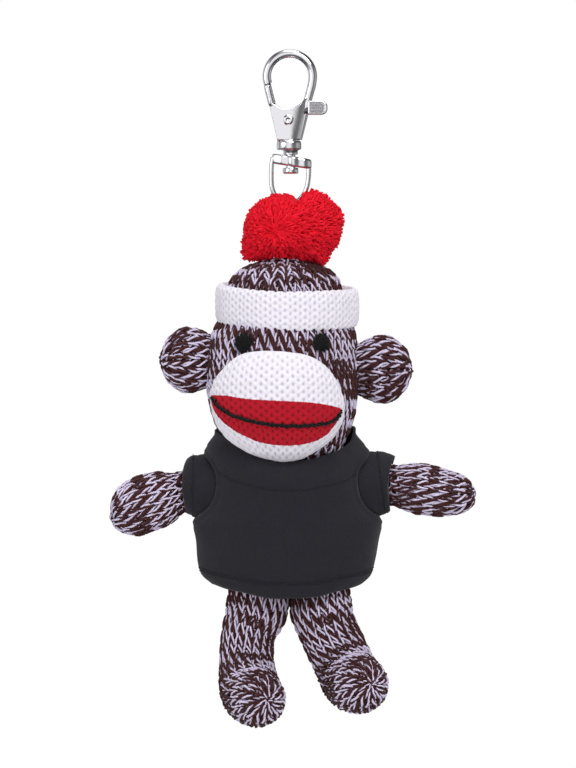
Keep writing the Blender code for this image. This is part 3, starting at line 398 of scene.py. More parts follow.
MARL = yarn_material("marl_yarn", (0.060, 0.014, 0.015), (0.765, 0.685, 0.885), 0.10, mottle=0.75)
# The white yarn is 0.30 darker in its holes: painted shade.
WHITE = yarn_material(
    "white_yarn", (0.91, 0.87, 0.96), (0.91, 0.87, 0.96), 0.06, mottle=0.08, fibre=0.2,
    tint=(0.50, 0.004, 0.018), glow=0.3, holes=0.30,
)
RED = yarn_material("red_yarn", (0.84, 0.006, 0.022), (0.97, 0.010, 0.036), 0.0, mottle=0.25, fibre=0.35)
BLACK = yarn_material("black_yarn", (0.006, 0.006, 0.007), (0.010, 0.010, 0.011), 0.1)
print("yarns:", MARL.name, WHITE.name, RED.name, BLACK.name)

# %% [markdown]
# ## One stitch
# A knitted loop comes up from behind, leans outwards over the front as one leg of a V, turns behind the
# next row as the loop's head, and comes down as the other leg. The list gives half of that path, in
# shares of a column's width, of a row's height and of the yarn's radius; the other half is its mirror.
# The mesh below is only a template: each point knows its place on the path, the direction round the
# strand and its ply. The geometry tree bends the template to each place on the doll.

# %% Stitch template
HALF_STITCH = [
    (0.50, -1.03, -1.15), (0.38, -1.00, -1.05), (0.21, -0.90, -0.75), (0.10, -0.64, 0.0),
    (0.135, -0.33, 0.60),
    (0.245, 0.02, 0.80), (0.365, 0.38, 0.62), (0.40, 0.68, 0.0), (0.24, 0.93, -0.80), (0.0, 1.02, -0.95),
]


def smooth_path(points, steps):
    """Points on a Catmull-Rom curve through the given ones, steps to each stretch."""
    rows = [np.array(p, float) for p in points]
    rows = [2 * rows[0] - rows[1], *rows, 2 * rows[-1] - rows[-2]]
    found = []
    for a, b, c, d in zip(rows, rows[1:], rows[2:], rows[3:]):
        for k in range(steps):
            t = k / steps
            found.append(
                0.5
                * (2 * b + (c - a) * t + (2 * a - 5 * b + 4 * c - d) * t * t + (3 * b - a - 3 * c + d)
                * t ** 3)
            )
    return np.array([*found, rows[-2]])


def mesh_from(name, points, faces, numbers=None, vectors=None):
    mesh = bpy.data.meshes.new(name)
    mesh.from_pydata([tuple(p) for p in points], [], [tuple(int(i) for i in f) for f in faces])
    for kind, table in (("FLOAT", numbers or {}), ("FLOAT_VECTOR", vectors or {})):
        for key, values in table.items():
            made = mesh.attributes.new(key, kind, "POINT")
            made.data.foreach_set(
                "value" if kind == "FLOAT" else "vector", np.asarray(values, np.float32).ravel()
            )
    return mesh


def stitch_template(name, width, height, radius, sides, plies):
    """A loop's strands at a typical size, with the frame of each point kept as attributes."""
    right = [(-x, y, z) for x, y, z in HALF_STITCH[:-1]]
    path = smooth_path([*right, *HALF_STITCH[::-1]], 1)
    real = path * np.array((width, height, radius))
    run = np.gradient(real, axis=0)
    run /= np.linalg.norm(run, axis=1)[:, None]
    out = np.array((0.0, 0.0, 1.0)) - run * run[:, 2:3]
    out /= np.linalg.norm(out, axis=1)[:, None]
    across = np.cross(run, out)
    steps = np.concatenate([[0], np.cumsum(np.linalg.norm(np.diff(real, axis=0), axis=1))])
    share = steps / steps[-1]
    numbers = {"share": [], "turn": [], "ply": [], "around": [], "length": []}
    vectors = {"path": [], "sideways": [], "outwards": []}
    faces = []
    for ply in range(plies):
        start = len(numbers["share"])
        for i in range(len(path)):
            for j in range(sides):
                numbers["share"].append(share[i])
                numbers["turn"].append(2 * math.pi * j / sides)
                numbers["ply"].append(ply)
                numbers["around"].append(j / sides)
                numbers["length"].append(steps[i] * 1000)
                vectors["path"].append(path[i])
                vectors["sideways"].append(across[i])
                vectors["outwards"].append(out[i])
        for i in range(len(path) - 1):
            for j in range(sides):
                a = start + i * sides + j
                b = start + i * sides + (j + 1) % sides
                faces.append((a, b, b + sides, a + sides))
    mesh = mesh_from(name, vectors["path"], faces, numbers, vectors)
    return bpy.data.objects.new(name, mesh)


MARL_STITCH = stitch_template("marl_stitch", 0.0026, 0.0024, 0.00057, 5, 2)
print("marl stitch:", len(MARL_STITCH.data.polygons), "faces")

# %% [markdown]
# ## The knitting tree
# The tree takes a cloud of points, one for each stitch. Each point carries the step to the next column
# (wide), the step to the next row (tall), the way out of the fabric, how much the fabric falls away over
# a step, and the twist that the yarn has reached. The tree puts the template on every point and moves
# each of its corners to its place. Instances alone would only turn and scale the stitch; this way it also
# shears and bends, so that the rows join on a tapering arm.

# %% Geometry Nodes: knitting
def geometry_sheet(name, inputs):
    tree = bpy.data.node_groups.new(name, "GeometryNodeTree")
    tree.interface.new_socket("Geometry", in_out="INPUT", socket_type="NodeSocketGeometry")
    for label, kind, value in inputs:
        made = tree.interface.new_socket(label, in_out="INPUT", socket_type=kind)
        if value is not None:
            made.default_value = value
    tree.interface.new_socket("Geometry", in_out="OUTPUT", socket_type="NodeSocketGeometry")
    return tree, Sheet(tree)


def named(sheet, name, kind="FLOAT"):
    return sheet.node("GeometryNodeInputNamedAttribute", {"data_type": kind}, {"Name": name})


def knitting_tree():
    tree, sheet = geometry_sheet("knitting", [
        ("Stitch", "NodeSocketObject", None), ("Yarn radius", "NodeSocketFloat", 0.0006),
        ("Turns", "NodeSocketFloat", 1.15), ("Ply offset", "NodeSocketFloat", 0.5),
        ("Ply girth", "NodeSocketFloat", 0.64),
        ("Material", "NodeSocketMaterial", None),
    ])
    enter = tree.nodes.new("NodeGroupInput")
    cloud, stitch, radius, turns, offset, girth, paint = [Wire(sheet, enter.outputs[i]) for i in range(7)]
    shape = sheet.node("GeometryNodeObjectInfo", values={0: stitch}, out="Geometry")
    placed = sheet.node("GeometryNodeInstanceOnPoints", values={"Points": cloud, "Instance": shape})
    real = sheet.node("GeometryNodeRealizeInstances", values={0: placed})
    path = named(sheet, "path", "FLOAT_VECTOR")
    x, y, z = [sheet.node("ShaderNodeSeparateXYZ", values={0: path}, out=i) for i in range(3)]
    wide, tall = named(sheet, "wide", "FLOAT_VECTOR"), named(sheet, "tall", "FLOAT_VECTOR")
    away = named(sheet, "away", "FLOAT_VECTOR")
    plump = named(sheet, "plump") * radius
    rise = z * plump + named(sheet, "bend_wide") * x * x * 4.0 + named(sheet, "bend_tall") * y * y
    place = sheet.vector("ADD", named(sheet, "seat", "FLOAT_VECTOR"), sheet.scaled(wide, x))
    place = sheet.vector("ADD", place, sheet.scaled(tall, y))
    place = sheet.vector("ADD", place, sheet.scaled(away, rise))
    twist = named(
        sheet, "phase"
    ) + named(sheet, "share") * turns * (2 * math.pi) + named(sheet, "ply") * math.pi
    turn = named(sheet, "turn")
    thick = girth - named(sheet, "ply") * 0.19
    reach_side = twist.cosine() * offset + turn.cosine() * thick
    reach_out = twist.sine() * offset + turn.sine() * thick
    local = sheet.vector(
        "ADD",
        sheet.scaled(named(sheet, "sideways", "FLOAT_VECTOR"), reach_side * plump),
        sheet.scaled(named(sheet, "outwards", "FLOAT_VECTOR"), reach_out * plump),
    )
    lx, ly, lz = [sheet.node("ShaderNodeSeparateXYZ", values={0: local}, out=i) for i in range(3)]
    place = sheet.vector("ADD", place, sheet.scaled(sheet.vector("NORMALIZE", wide), lx))
    place = sheet.vector("ADD", place, sheet.scaled(sheet.vector("NORMALIZE", tall), ly))
    place = sheet.vector("ADD", place, sheet.scaled(away, lz))
    moved = sheet.node("GeometryNodeSetPosition", values={"Geometry": real, "Position": place})
    smooth = sheet.node("GeometryNodeSetShadeSmooth", values={"Geometry": moved})
    shown = sheet.node("GeometryNodeSetMaterial", values={"Geometry": smooth, "Material": paint})
    sheet.finish("NodeGroupOutput", shown)
    return tree


KNITTING = knitting_tree()


def put_in(obj, body):
    bpy.context.scene.collection.objects.link(obj)
    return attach(obj, body)


def grown(name, points_mesh, tree, inputs):
    """Runs a tree on a mesh of points and returns what it grew, as a plain mesh."""
    seed = bpy.data.objects.new(name + "_points", points_mesh)
    bpy.context.scene.collection.objects.link(seed)
    modifier = seed.modifiers.new("grow", "NODES")
    modifier.node_group = tree
    sockets = {s.name: s.identifier for s in tree.interface.items_tree if s.in_out == "INPUT"}
    for label, value in inputs.items():
        modifier[sockets[label]] = value
    mesh = bpy.data.meshes.new_from_object(seed.evaluated_get(bpy.context.evaluated_depsgraph_get()))
    bpy.data.objects.remove(seed)
    mesh.name = name
    return mesh


print("knitting tree:", len(KNITTING.nodes), "nodes")

# %% [markdown]
# ## Laying stitches on a form
# A stuffed limb is a tube of knitting: the columns run along it and the number of columns stays the same,
# so they crowd where it narrows. A form here is a function that gives a point of the surface for a share
# of a turn and a distance along. The helper walks along it one row at a time. Where a column would be too
# narrow it joins columns in pairs, as a knitter decreases. At a closed tip the last stitches are drawn
# together on one thread.

# %% Stitches on a form
def stitch_cloud(name, spots):
    """A mesh of loose points from (seat, wide, tall, away, bend_wide, bend_tall, plump, phase) rows."""
    columns = list(zip(*spots))
    numbers = {"bend_wide": columns[4], "bend_tall": columns[5], "plump": columns[6], "phase": columns[7]}
    vectors = {"seat": columns[0], "wide": columns[1], "tall": columns[2], "away": columns[3]}
    return mesh_from(name, columns[0], [], numbers, vectors)


def fabric_spot(form, u, v, du, dv, nominal, sink, phase):
    """One stitch: its place on the form and its steps, at u and v with steps du and dv."""
    here = form(u, v)
    left, right, below, above = form(u - du / 2, v), form(u + du / 2, v), form(u, v - dv), form(u, v + dv)
    wide = right - left
    tall = (above - below) / 2
    away = np.cross(wide, tall)
    away /= np.linalg.norm(away) + 1e-12
    bend_wide = float(np.dot(away, (left + right) / 2 - here))
    bend_tall = float(np.dot(away, (above + below) / 2 - here))
    plump = min(max(np.linalg.norm(wide) / nominal, 0.72), 1.12)
    return here - away * sink, wide, tall, away, bend_wide, bend_tall, plump, phase


def knit_tube(form, length, columns, row_height, nominal, sink, keep=None, turns=2.1, seed=1, wobble=0.35):
    """Rows of stitches round a form. The twist of the yarn runs on from stitch to stitch."""
    chance = random.Random(seed)
    spots = []
    rows = int(length / row_height)
    step = length / rows
    for row in range(rows):
        v = (row + 0.5) * step
        ring = np.array([form(k / 24, v) for k in range(24)])
        around = np.linalg.norm(ring - np.roll(ring, 1, axis=0), axis=1).sum()
        count = columns
        while around / count < 0.80 * nominal and count > 5:
            count = count // 2
        phase = chance.random() * 6.28
        for k in range(count):
            u = k / count
            phase += 2 * math.pi * turns + chance.uniform(-wobble, wobble)
            if keep is not None and not keep(u, v):
                continue
            spots.append(fabric_spot(form, u, v, 1 / count, step, nominal, sink, phase))
    return spots


def skin_mesh(name, form, length, sides, rings, sink, axis, paint, start=0.0):
    """A closed tube sunk below a form: the sheet behind stitches that carries their painted shade or, sunk by
    nothing, a metal bar.
    """
    points, faces = [], []
    for i in range(rings + 1):
        v = start + (length - start) * i / rings
        middle = axis(v)
        for j in range(sides):
            p = form(j / sides, v)
            towards = middle - p
            far = np.linalg.norm(towards)
            points.append(p + towards / max(far, 1e-9) * min(sink, far * 0.9))
    for i in range(rings):
        for j in range(sides):
            a, b = i * sides + j, i * sides + (j + 1) % sides
            faces.append((a, b, b + sides, a + sides))
    faces.append(tuple(range(sides))[::-1])
    faces.append(tuple(rings * sides + j for j in range(sides)))
    mesh = mesh_from(name, points, faces)
    mesh.materials.append(paint)
    mesh.shade_smooth()
    return mesh


def joined(name, meshes, body):
    """One object from several meshes, which rides on a body."""
    parts = []
    for mesh in meshes:
        part = bpy.data.objects.new(name, mesh)
        bpy.context.scene.collection.objects.link(part)
        parts.append(part)
    with bpy.context.temp_override(
        active_object=parts[0], selected_editable_objects=parts, selected_objects=parts
    ):
        bpy.ops.object.join()
    whole = parts[0]
    whole.name = name
    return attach(whole, body)


def gap_shade_material(name, colour):
    """The dull cloth that shows between the stitches, painted darker than its yarn as the shade in the gaps.
    """
    paint, sheet = new_material(name)
    grain = sheet.noise(1500.0, 2.0, sheet.node("ShaderNodeTexCoord", out="Object"))
    lit = sheet.mixed(grain, tuple(0.6 * c for c in colour), colour)
    skin = sheet.node(
        "ShaderNodeBsdfPrincipled", values={"Base Color": lit, "Roughness": 0.95, "Specular IOR Level": 0.1}
    )
    sheet.finish("ShaderNodeOutputMaterial", skin)
    return paint


# The sheet behind the marl stitches is about the dark ply's brown, darker than the yarn: painted shade
# between the stitches.
MARL_GAP_SHADE = gap_shade_material("marl_ground", (0.055, 0.020, 0.024))
print("grounds ready")

# %% [markdown]
# ## The head's form
# The head is a stuffed tube of sock, turned about a standing axis, with a narrow crown under the hat band
# and full cheeks below it. The list gives its outline as shares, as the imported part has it. Its columns
# run from the neck up to the crown, so a V points down to the chin.

# %% Forms: tubes with an elliptical section
HEAD_X = -0.0010
HEAD_TOP = -0.0500
HEAD_HEIGHT = 0.0509
HEAD_RADIUS = 0.0181
HEAD_PROFILE = [
    (0.0, 0.22), (0.015, 0.34), (0.055, 0.60), (0.105, 0.74), (0.150, 0.80), (0.250, 0.845), (0.305, 0.865),
    (0.335, 0.940), (0.375, 0.975), (0.415, 0.99), (0.47, 1.0), (0.60, 1.01), (0.72, 0.99), (0.82, 0.93),
    (0.90, 0.84),
    (0.96, 0.74), (1.0, 0.62),
]
COLUMN = 0.0026
ROW = 0.0024
MARL_TURNS = 2.1
YARN = 0.00057
SINK = 0.00080


class Tube:
    """A tube through stations of (centre, first radius, second radius), measured along its skin."""

    def __init__(self, stations, first, steps=8):
        rows = smooth_path([(*centre, a, b) for centre, a, b in stations], steps)
        self.middle = rows[:, :3]
        self.radii = np.maximum(rows[:, 3:], 0)
        run = np.gradient(self.middle, axis=0)
        run /= np.linalg.norm(run, axis=1)[:, None]
        side = np.array(first, float)
        self.first = side - run * (run @ side)[:, None]
        self.first /= np.linalg.norm(self.first, axis=1)[:, None]
        self.second = np.cross(run, self.first)
        gone = np.linalg.norm(np.diff(self.middle, axis=0), axis=1)
        gone = np.hypot(gone, np.abs(np.diff(self.radii, axis=0)).mean(axis=1))
        self.along = np.concatenate([[0], np.cumsum(gone)])
        self.length = float(self.along[-1])
        self.table = np.hstack([self.middle, self.radii, self.first, self.second])

    def row(self, v):
        place = min(max(v, 0.0), self.length)
        k = min(max(int(np.searchsorted(self.along, place)), 1), len(self.along) - 1)
        t = (place - self.along[k - 1]) / max(self.along[k] - self.along[k - 1], 1e-12)
        return self.table[k - 1] * (1 - t) + self.table[k] * t

    def form(self, u, v):
        row = self.row(v)
        a = 2 * math.pi * u
        return row[:3] + row[5:8] * row[3] * math.cos(a) + row[8:11] * row[4] * math.sin(a)

    def axis(self, v):
        return self.row(v)[:3]


def head_radius(z):
    down = (HEAD_TOP - z) / HEAD_HEIGHT
    return HEAD_RADIUS * float(np.interp(down, [p[0] for p in HEAD_PROFILE], [p[1] for p in HEAD_PROFILE]))


def cheek(turn, z):
    """The left cheek is a little fuller than the right one."""
    return 0.0014 * max(-math.sin(turn), 0) ** 2 * math.exp(-(((z + 0.0795) / 0.0125) ** 2))


def on_head(turn, z, out):
    radius = head_radius(z) + cheek(turn, z) + out
    return np.array((HEAD_X + radius * math.sin(turn), -radius * math.cos(turn), z))


head_stations = [
    ((HEAD_X, 0, HEAD_TOP - down * HEAD_HEIGHT), HEAD_RADIUS * r, HEAD_RADIUS * r) for down,
    r in HEAD_PROFILE[::-1]
]
HEAD = Tube(head_stations, (0, -1, 0))


def head_form(u, v):
    p = HEAD.form(u, v)
    turn = 2 * math.pi * u
    return p + np.array((math.sin(turn), -math.cos(turn), 0)) * cheek(turn, p[2])


print("head skin length", round(HEAD.length * 1000, 1), "mm")

# %% Knit the head
HEAD_COLUMNS = 42


def shows_on_head(u, v):
    """The hat band and the muzzle hide some of the head, so no stitches are made there."""
    p = HEAD.form(u, v)
    turn = 2 * math.pi * u
    band = -0.0624 - 0.0012 * math.cos(turn) + 0.0010 * max(-math.sin(turn), 0)
    if abs(p[2] - band) < 0.0030:
        return False
    off = math.atan2(math.sin(turn + math.radians(11)), math.cos(turn + math.radians(11)))
    off /= math.radians(57 if off > 0 else 49)
    up = (p[2] + 0.0875) / 0.0133
    return math.hypot(off, up) > 0.86


head_spots = knit_tube(head_form, HEAD.length, HEAD_COLUMNS, ROW, COLUMN, SINK, shows_on_head, seed=4)
MARL_INPUTS = {
    "Stitch": MARL_STITCH, "Yarn radius": YARN, "Turns": MARL_TURNS, "Ply offset": 0.5, "Ply girth": 0.64,
    "Material": MARL
}
head_yarn = grown("head_yarn", stitch_cloud("head_cloud", head_spots), KNITTING, MARL_INPUTS)
head_ground = skin_mesh("head_ground", head_form, HEAD.length, 48, 30, 0.0013, HEAD.axis, MARL_GAP_SHADE)
head_knit = joined("head_knit", [head_yarn, head_ground], "head")
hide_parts("head", "head_stuffing")
print("head:", len(head_spots), "stitches,", len(head_knit.data.polygons), "faces")

# %% [markdown]
# ## Ears, arms and legs
# These are the same tubes with other outlines: an ear is a short flat one that closes at its rim, an arm
# is a mitt that is drawn in at the wrist, and a leg curls forward into a foot. Each starts at its closed
# tip, so its Vs point to the tip.

# %% Knit the ears
EAR_PROFILE = [
    (1.0, 0.0), (0.985, 0.20), (0.955, 0.36), (0.83, 0.72), (0.58, 1.0), (0.28, 0.97), (0.0, 0.78),
    (-0.10, 0.70)
]


def knit_piece(name, tube, columns, body, nodes, seed, rings=24, row=ROW):
    spots = knit_tube(tube.form, tube.length, columns, row, COLUMN, SINK, seed=seed)
    yarn = grown(name + "_yarn", stitch_cloud(name + "_cloud", spots), KNITTING, MARL_INPUTS)
    gap_shade = skin_mesh(
        name + "_ground", tube.form, tube.length, 28, rings, 0.0012, tube.axis, MARL_GAP_SHADE, start=0.0004
    )
    piece = joined(name, [yarn, gap_shade], body)
    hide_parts(*nodes)
    print(name, len(spots), "stitches,", len(piece.data.polygons), "faces")
    return piece


for name, sign, middle, tall, more in (
    ("left_ear", -1, -0.0756, 0.0083, 0.0), ("right_ear", 1, -0.0779, 0.0086, 0.0005)
):
    seat = head_radius(middle)
    reach = HEAD_RADIUS + 0.0133 + more - seat
    ear_stations = [
        ((HEAD_X + sign * (seat + out * reach), 0, middle), 0.0048 * size, tall * size) for out,
        size in EAR_PROFILE
    ]
    ear_tube = Tube(ear_stations, (0, 1, 0))
    knit_piece(name + "_knit", ear_tube, 15, "head", (name, name + "_stuffing"), 11 + sign)

# %% Knit the arms and legs
ARM_LENGTH = 0.0260
ARM_RADIUS = 0.0070
LEG_LENGTH = 0.0340
LEG_RADIUS = 0.0072
ARMS = {
    "left": ((-0.0190, 0, -0.1074), -1, [
        (1.0, -0.300, 0.0), (0.972, -0.294, 0.34), (0.90, -0.272, 0.74), (0.79, -0.225, 0.97),
        (0.64, -0.155, 1.02), (0.48, -0.100, 0.97), (0.37, -0.065, 0.80), (0.31, -0.050, 0.70),
        (0.23, -0.030, 0.80),
    ]),
    "right": ((0.0180, 0, -0.1074), 1, [
        (1.11, -0.052, 0.0), (1.09, -0.053, 0.30), (1.04, -0.060, 0.53), (0.981, -0.066, 0.68),
        (0.885, -0.062, 0.80), (0.79, -0.053, 0.87), (0.70, -0.040, 0.90), (0.59, -0.020, 0.92),
        (0.49, -0.003, 0.89), (0.40, 0.010, 0.82), (0.30, 0.024, 0.72), (0.23, 0.024, 0.74),
    ]),
}
LEGS = {
    "left": ((-0.0076, 0, -0.1336), [
        (0.070, 0.505, 0.775, 0.0), (0.062, 0.480, 0.775, 0.40), (0.040, 0.415, 0.777, 0.76),
        (0.010, 0.320, 0.778, 0.96), (-0.030, 0.215, 0.768, 1.03), (-0.062, 0.118, 0.715, 1.05),
        (-0.082, 0.045, 0.610, 1.00), (-0.088, 0.005, 0.465, 0.95), (-0.072, 0.0, 0.300, 0.95),
        (-0.016, 0.0, 0.140, 1.075), (0.0, 0.0, 0.0, 1.033), (0.0, 0.0, -0.110, 0.895),
    ]),
    "right": ((0.0078, 0, -0.1336), [
        (0.375, 0.500, 0.655, 0.0), (0.368, 0.475, 0.657, 0.40), (0.345, 0.410, 0.665, 0.76),
        (0.310, 0.315, 0.672, 0.97), (0.268, 0.210, 0.672, 1.04), (0.225, 0.112, 0.632, 1.06),
        (0.180, 0.040, 0.545, 1.04), (0.120, 0.005, 0.415, 1.03), (0.058, 0.0, 0.275, 1.03),
        (0.008, 0.0, 0.135, 1.080), (0.0, 0.0, 0.0, 1.033), (0.0, 0.0, -0.110, 0.895),
    ]),
}
for side, (start, sign, rows) in ARMS.items():
    stations = [
        ((start[0] + sign * out * ARM_LENGTH, 0, start[2] + up * ARM_LENGTH), size * ARM_RADIUS,
        size * ARM_RADIUS)
        for out, up, size in rows
    ]
    arm = Tube(stations, (0, 1, 0))
    knit_piece(side + "_arm_knit", arm, 16, side + "_arm", (side + "_arm", side + "_arm_stuffing"), 21 + sign)
for side, (start, rows) in LEGS.items():
    stations = [
        ((start[0] + across * LEG_LENGTH, -forward * LEG_LENGTH, start[2] - down * LEG_LENGTH),
        size * LEG_RADIUS, size * LEG_RADIUS)
        for across, forward, down, size in rows
    ]
    leg = Tube(stations, (1, 0, 0))
    knit_piece(
        side + "_leg_knit", leg, 18, side + "_leg", (side + "_leg", side + "_leg_stuffing"), 31, rings=36
    )

# %% [markdown]
# ## The white knitting
# The hat band and the muzzle are the same stitch in one soft white yarn. It is brushed, so its legs melt
# together and only the small holes between them show, in staggered columns. A separate strand for each
# stitch would look too crisp here, so this fabric is one fine skin, and the nodes below press the pattern
# into it: a hole at each crossing, a low V between the holes, and a groove between the columns.
# The holes are also painted darker than the yarn, as shade.

# %% Geometry Nodes: knitted skin
def skin_tree():
    tree, sheet = geometry_sheet("knitted skin", [
        ("Hole depth", "NodeSocketFloat", 0.0004), ("Ridge", "NodeSocketFloat", 0.00006),
        ("Material", "NodeSocketMaterial", None),
    ])
    enter = tree.nodes.new("NodeGroupInput")
    skin, depth, ridge, paint = [Wire(sheet, enter.outputs[i]) for i in range(4)]
    column, row, worn = named(sheet, "column"), named(sheet, "row"), named(sheet, "worn")

    def part(wire):
        return wire.sum("FRACT", wire) - 0.5

    def hole(shift):
        x, y = part(column + shift) * 8.0, part(row + shift) * 4.4
        fall = 0.0 - x * x - y * y
        return fall.sum("EXPONENT", fall)

    side = part(column)
    side = side.sum("ABSOLUTE", side)
    near = (0.5 - side) * 12.0
    border = 0.0 - near * near
    holes = hole(0.0) + hole(0.5)
    wave = ((row - side) * (2 * math.pi)).cosine()
    height = wave * ridge - holes * depth - border.sum("EXPONENT", border) * depth * 0.22
    normal = sheet.node("GeometryNodeInputNormal")
    # The hole mask is kept for the white yarn's material, which paints shade into the holes.
    kept = sheet.node(
        "GeometryNodeStoreNamedAttribute", {"data_type": "FLOAT", "domain": "POINT"},
        {"Geometry": skin, "Name": "hole", "Value": (holes * worn).clipped()},
    )
    pressed = sheet.node(
        "GeometryNodeSetPosition", values={"Geometry": kept, "Offset": sheet.scaled(normal, height * worn)}
    )
    smooth = sheet.node("GeometryNodeSetShadeSmooth", values={"Geometry": pressed})
    sheet.finish(
        "NodeGroupOutput",
        sheet.node("GeometryNodeSetMaterial", values={"Geometry": smooth, "Material": paint})
    )
    return tree


SKIN = skin_tree()
SKIN_INPUTS = {"Hole depth": 0.00042, "Ridge": 0.00007, "Material": WHITE}
print("skin tree:", len(SKIN.nodes), "nodes")

# %% [markdown]
# ## The hat band
# The band is a rolled hem: the knitting starts under its lower edge, comes round the front and ends over
# the top. It is a ring with a rounded section, a little tighter on the doll's right side.

# %% Knit the hat band
BAND_MIDDLE = -0.0624
BAND_DIP = 0.0012
BAND_TILT = 0.0010
BAND_HEIGHT = 0.0098
BAND_THICKNESS = 0.0022
BAND_INNER = 0.0157
BAND_SHIFT = 0.00055
BAND_COLUMNS = 44
BAND_ROW = 0.00171
BAND_SIDES = 640
BAND_RINGS = 66
BAND_SECTION = [
    (0.00, -0.86), (0.35, -1.00), (0.72, -0.93), (0.95, -0.70), (1.02, -0.36), (1.04, 0.00), (1.02, 0.36),
    (0.95, 0.70), (0.72, 0.93), (0.35, 1.00), (0.00, 0.86),
]
band_section = smooth_path([(o * BAND_THICKNESS, u * BAND_HEIGHT / 2) for o, u in BAND_SECTION], 6)
band_along = np.concatenate([[0], np.cumsum(np.linalg.norm(np.diff(band_section, axis=0), axis=1))])
BAND_LENGTH = float(band_along[-1])


def band_point(turn, v):
    """The band sits lower in front and a little higher on the left."""
    out = float(np.interp(v, band_along, band_section[:, 0]))
    up = float(np.interp(v, band_along, band_section[:, 1]))
    middle = BAND_MIDDLE - BAND_DIP * math.cos(turn) + BAND_TILT * max(-math.sin(turn), 0)
    soft = 0.00012 * math.sin(turn * 5 + 1) + 0.00008 * math.sin(turn * 11)
    radius = BAND_INNER + BAND_SHIFT * math.sin(turn) + out + soft
    return HEAD_X + radius * math.sin(turn), -radius * math.cos(turn), middle + up * (
        1 + 0.02 * math.sin(turn * 3)
    )


band_points, band_faces, column, row, worn = [], [], [], [], []
for i in range(BAND_RINGS + 1):
    v = BAND_LENGTH * i / BAND_RINGS
    for j in range(BAND_SIDES):
        band_points.append(band_point(2 * math.pi * j / BAND_SIDES, v))
        column.append(BAND_COLUMNS * j / BAND_SIDES)
        row.append(v / BAND_ROW)
        worn.append(min(1, v / 0.001, (BAND_LENGTH - v) / 0.001))
for i in range(BAND_RINGS + 1):
    for j in range(BAND_SIDES):
        a, b = i * BAND_SIDES + j, i * BAND_SIDES + (j + 1) % BAND_SIDES
        up = BAND_SIDES if i < BAND_RINGS else -BAND_RINGS * BAND_SIDES
        band_faces.append((a, b, b + up, a + up))
band_skin = mesh_from("band_skin", band_points, band_faces, {"column": column, "row": row, "worn": worn})
band_knit = put_in(
    bpy.data.objects.new("hat_band_knit", grown("hat_band_knit", band_skin, SKIN, SKIN_INPUTS)), "head"
)
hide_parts("hat_band")
print("band:", len(band_knit.data.polygons), "faces")

# %% [markdown]
# ## The muzzle and its red lips
# The muzzle is a dome of the same white knitting, sewn round its edge to the face and stuffed. The lips are
# not a separate piece: the same columns run on through them in red, so the white yarn's material has the
# lips' outline. The muzzle's own outline is a list of points, as the eye sees it from the front. A ray from
# the middle to each of them gives how far the muzzle reaches round the face that way.

# %% Knit the muzzle
FACE_TURN = math.radians(-11)
MUZZLE_Z = -0.0875
MUZZLE_BULGE = 0.0064
MUZZLE_EDGE_SHARE = 0.16
MUZZLE_ARM = 0.020
MUZZLE_OUTLINE = [
    (0.01397, -0.08668), (0.01323, -0.08390), (0.01230, -0.08159), (0.01068, -0.07881), (0.00883, -0.07673),
    (0.00675, -0.07534), (0.00398, -0.07430), (0.00051, -0.07384), (-0.00366, -0.07349), (-0.00805, -0.07349),
    (-0.01059, -0.07373), (-0.01244, -0.07414), (-0.01429, -0.07534), (-0.01637, -0.07731),
    (-0.01799, -0.07928),
    (-0.01903, -0.08136), (-0.01957, -0.08321), (-0.01973, -0.08483), (-0.01943, -0.08714),
    (-0.01880, -0.09014),
    (-0.01788, -0.09269), (-0.01661, -0.09465), (-0.01499, -0.09639), (-0.01291, -0.09778),
    (-0.01059, -0.09916),
    (-0.00828, -0.09997), (-0.00597, -0.10055), (-0.00250, -0.10097), (-0.00019, -0.10090),
    (0.00213, -0.10055),
    (0.00398, -0.10020), (0.00675, -0.09847), (0.00976, -0.09662), (0.01138, -0.09500), (0.01253, -0.09292),
    (0.01346, -0.09084), (0.01387, -0.08876),
]
MUZZLE_PER_RADIAN = 9.1
MUZZLE_ROW = 0.00195
MUZZLE_SIDES = 448
MUZZLE_RINGS = 104


def muzzle_out(share):
    """How far the dome stands out of the face at a share of the way from its middle to its edge."""
    edge = MUZZLE_EDGE_SHARE if share <= 1 else max(MUZZLE_EDGE_SHARE * (1 - (share - 1) * 12), -0.15)
    return 0.00035 + MUZZLE_BULGE * (edge + (1 - MUZZLE_EDGE_SHARE) * math.sqrt(max(1 - share ** 2.6, 0)))


def muzzle_reach(x, z):
    """The (angle, length) on the unrolled face of the ray whose outermost point the eye sees at x."""
    side = 1 if x > -0.0052 else -1
    low, high = 0.0, math.radians(76)
    for _ in range(22):
        half = (low + high) / 2
        seen = max(
            side * on_head(FACE_TURN + side * half * s, MUZZLE_Z + (z - MUZZLE_Z) * s, muzzle_out(s))[0]
            for s in (0, 0.3, 0.5, 0.6, 0.7, 0.8, 0.86, 0.91, 0.95, 1.0)
        )
        low, high = (half, high) if seen < side * x else (low, half)
    away = (side * half * MUZZLE_ARM, z - MUZZLE_Z)
    return math.degrees(math.atan2(away[1], away[0])), math.hypot(*away)


muzzle_rays = sorted(muzzle_reach(x, z) for x, z in MUZZLE_OUTLINE)
ray_angles, ray_lengths = zip(*muzzle_rays)
MUZZLE_LENGTHS = np.interp(np.arange(-180, 180), ray_angles, ray_lengths, period=360)
soften = np.exp(-(np.arange(-9, 10) / 5.0) ** 2)
MUZZLE_LENGTHS = np.convolve(
    np.concatenate([MUZZLE_LENGTHS[-9:], MUZZLE_LENGTHS, MUZZLE_LENGTHS[:9]]), soften / soften.sum(), "valid"
)


def muzzle_length(angle):
    return float(np.interp(math.degrees(angle), np.arange(-180, 180), MUZZLE_LENGTHS, period=360))


def muzzle_share(turn, z):
    away = ((turn - FACE_TURN) * MUZZLE_ARM, z - MUZZLE_Z)
    return math.hypot(*away) / muzzle_length(math.atan2(away[1], away[0]))


def muzzle_point(turn, z, extra):
    return on_head(turn, z, muzzle_out(muzzle_share(turn, z)) + extra)


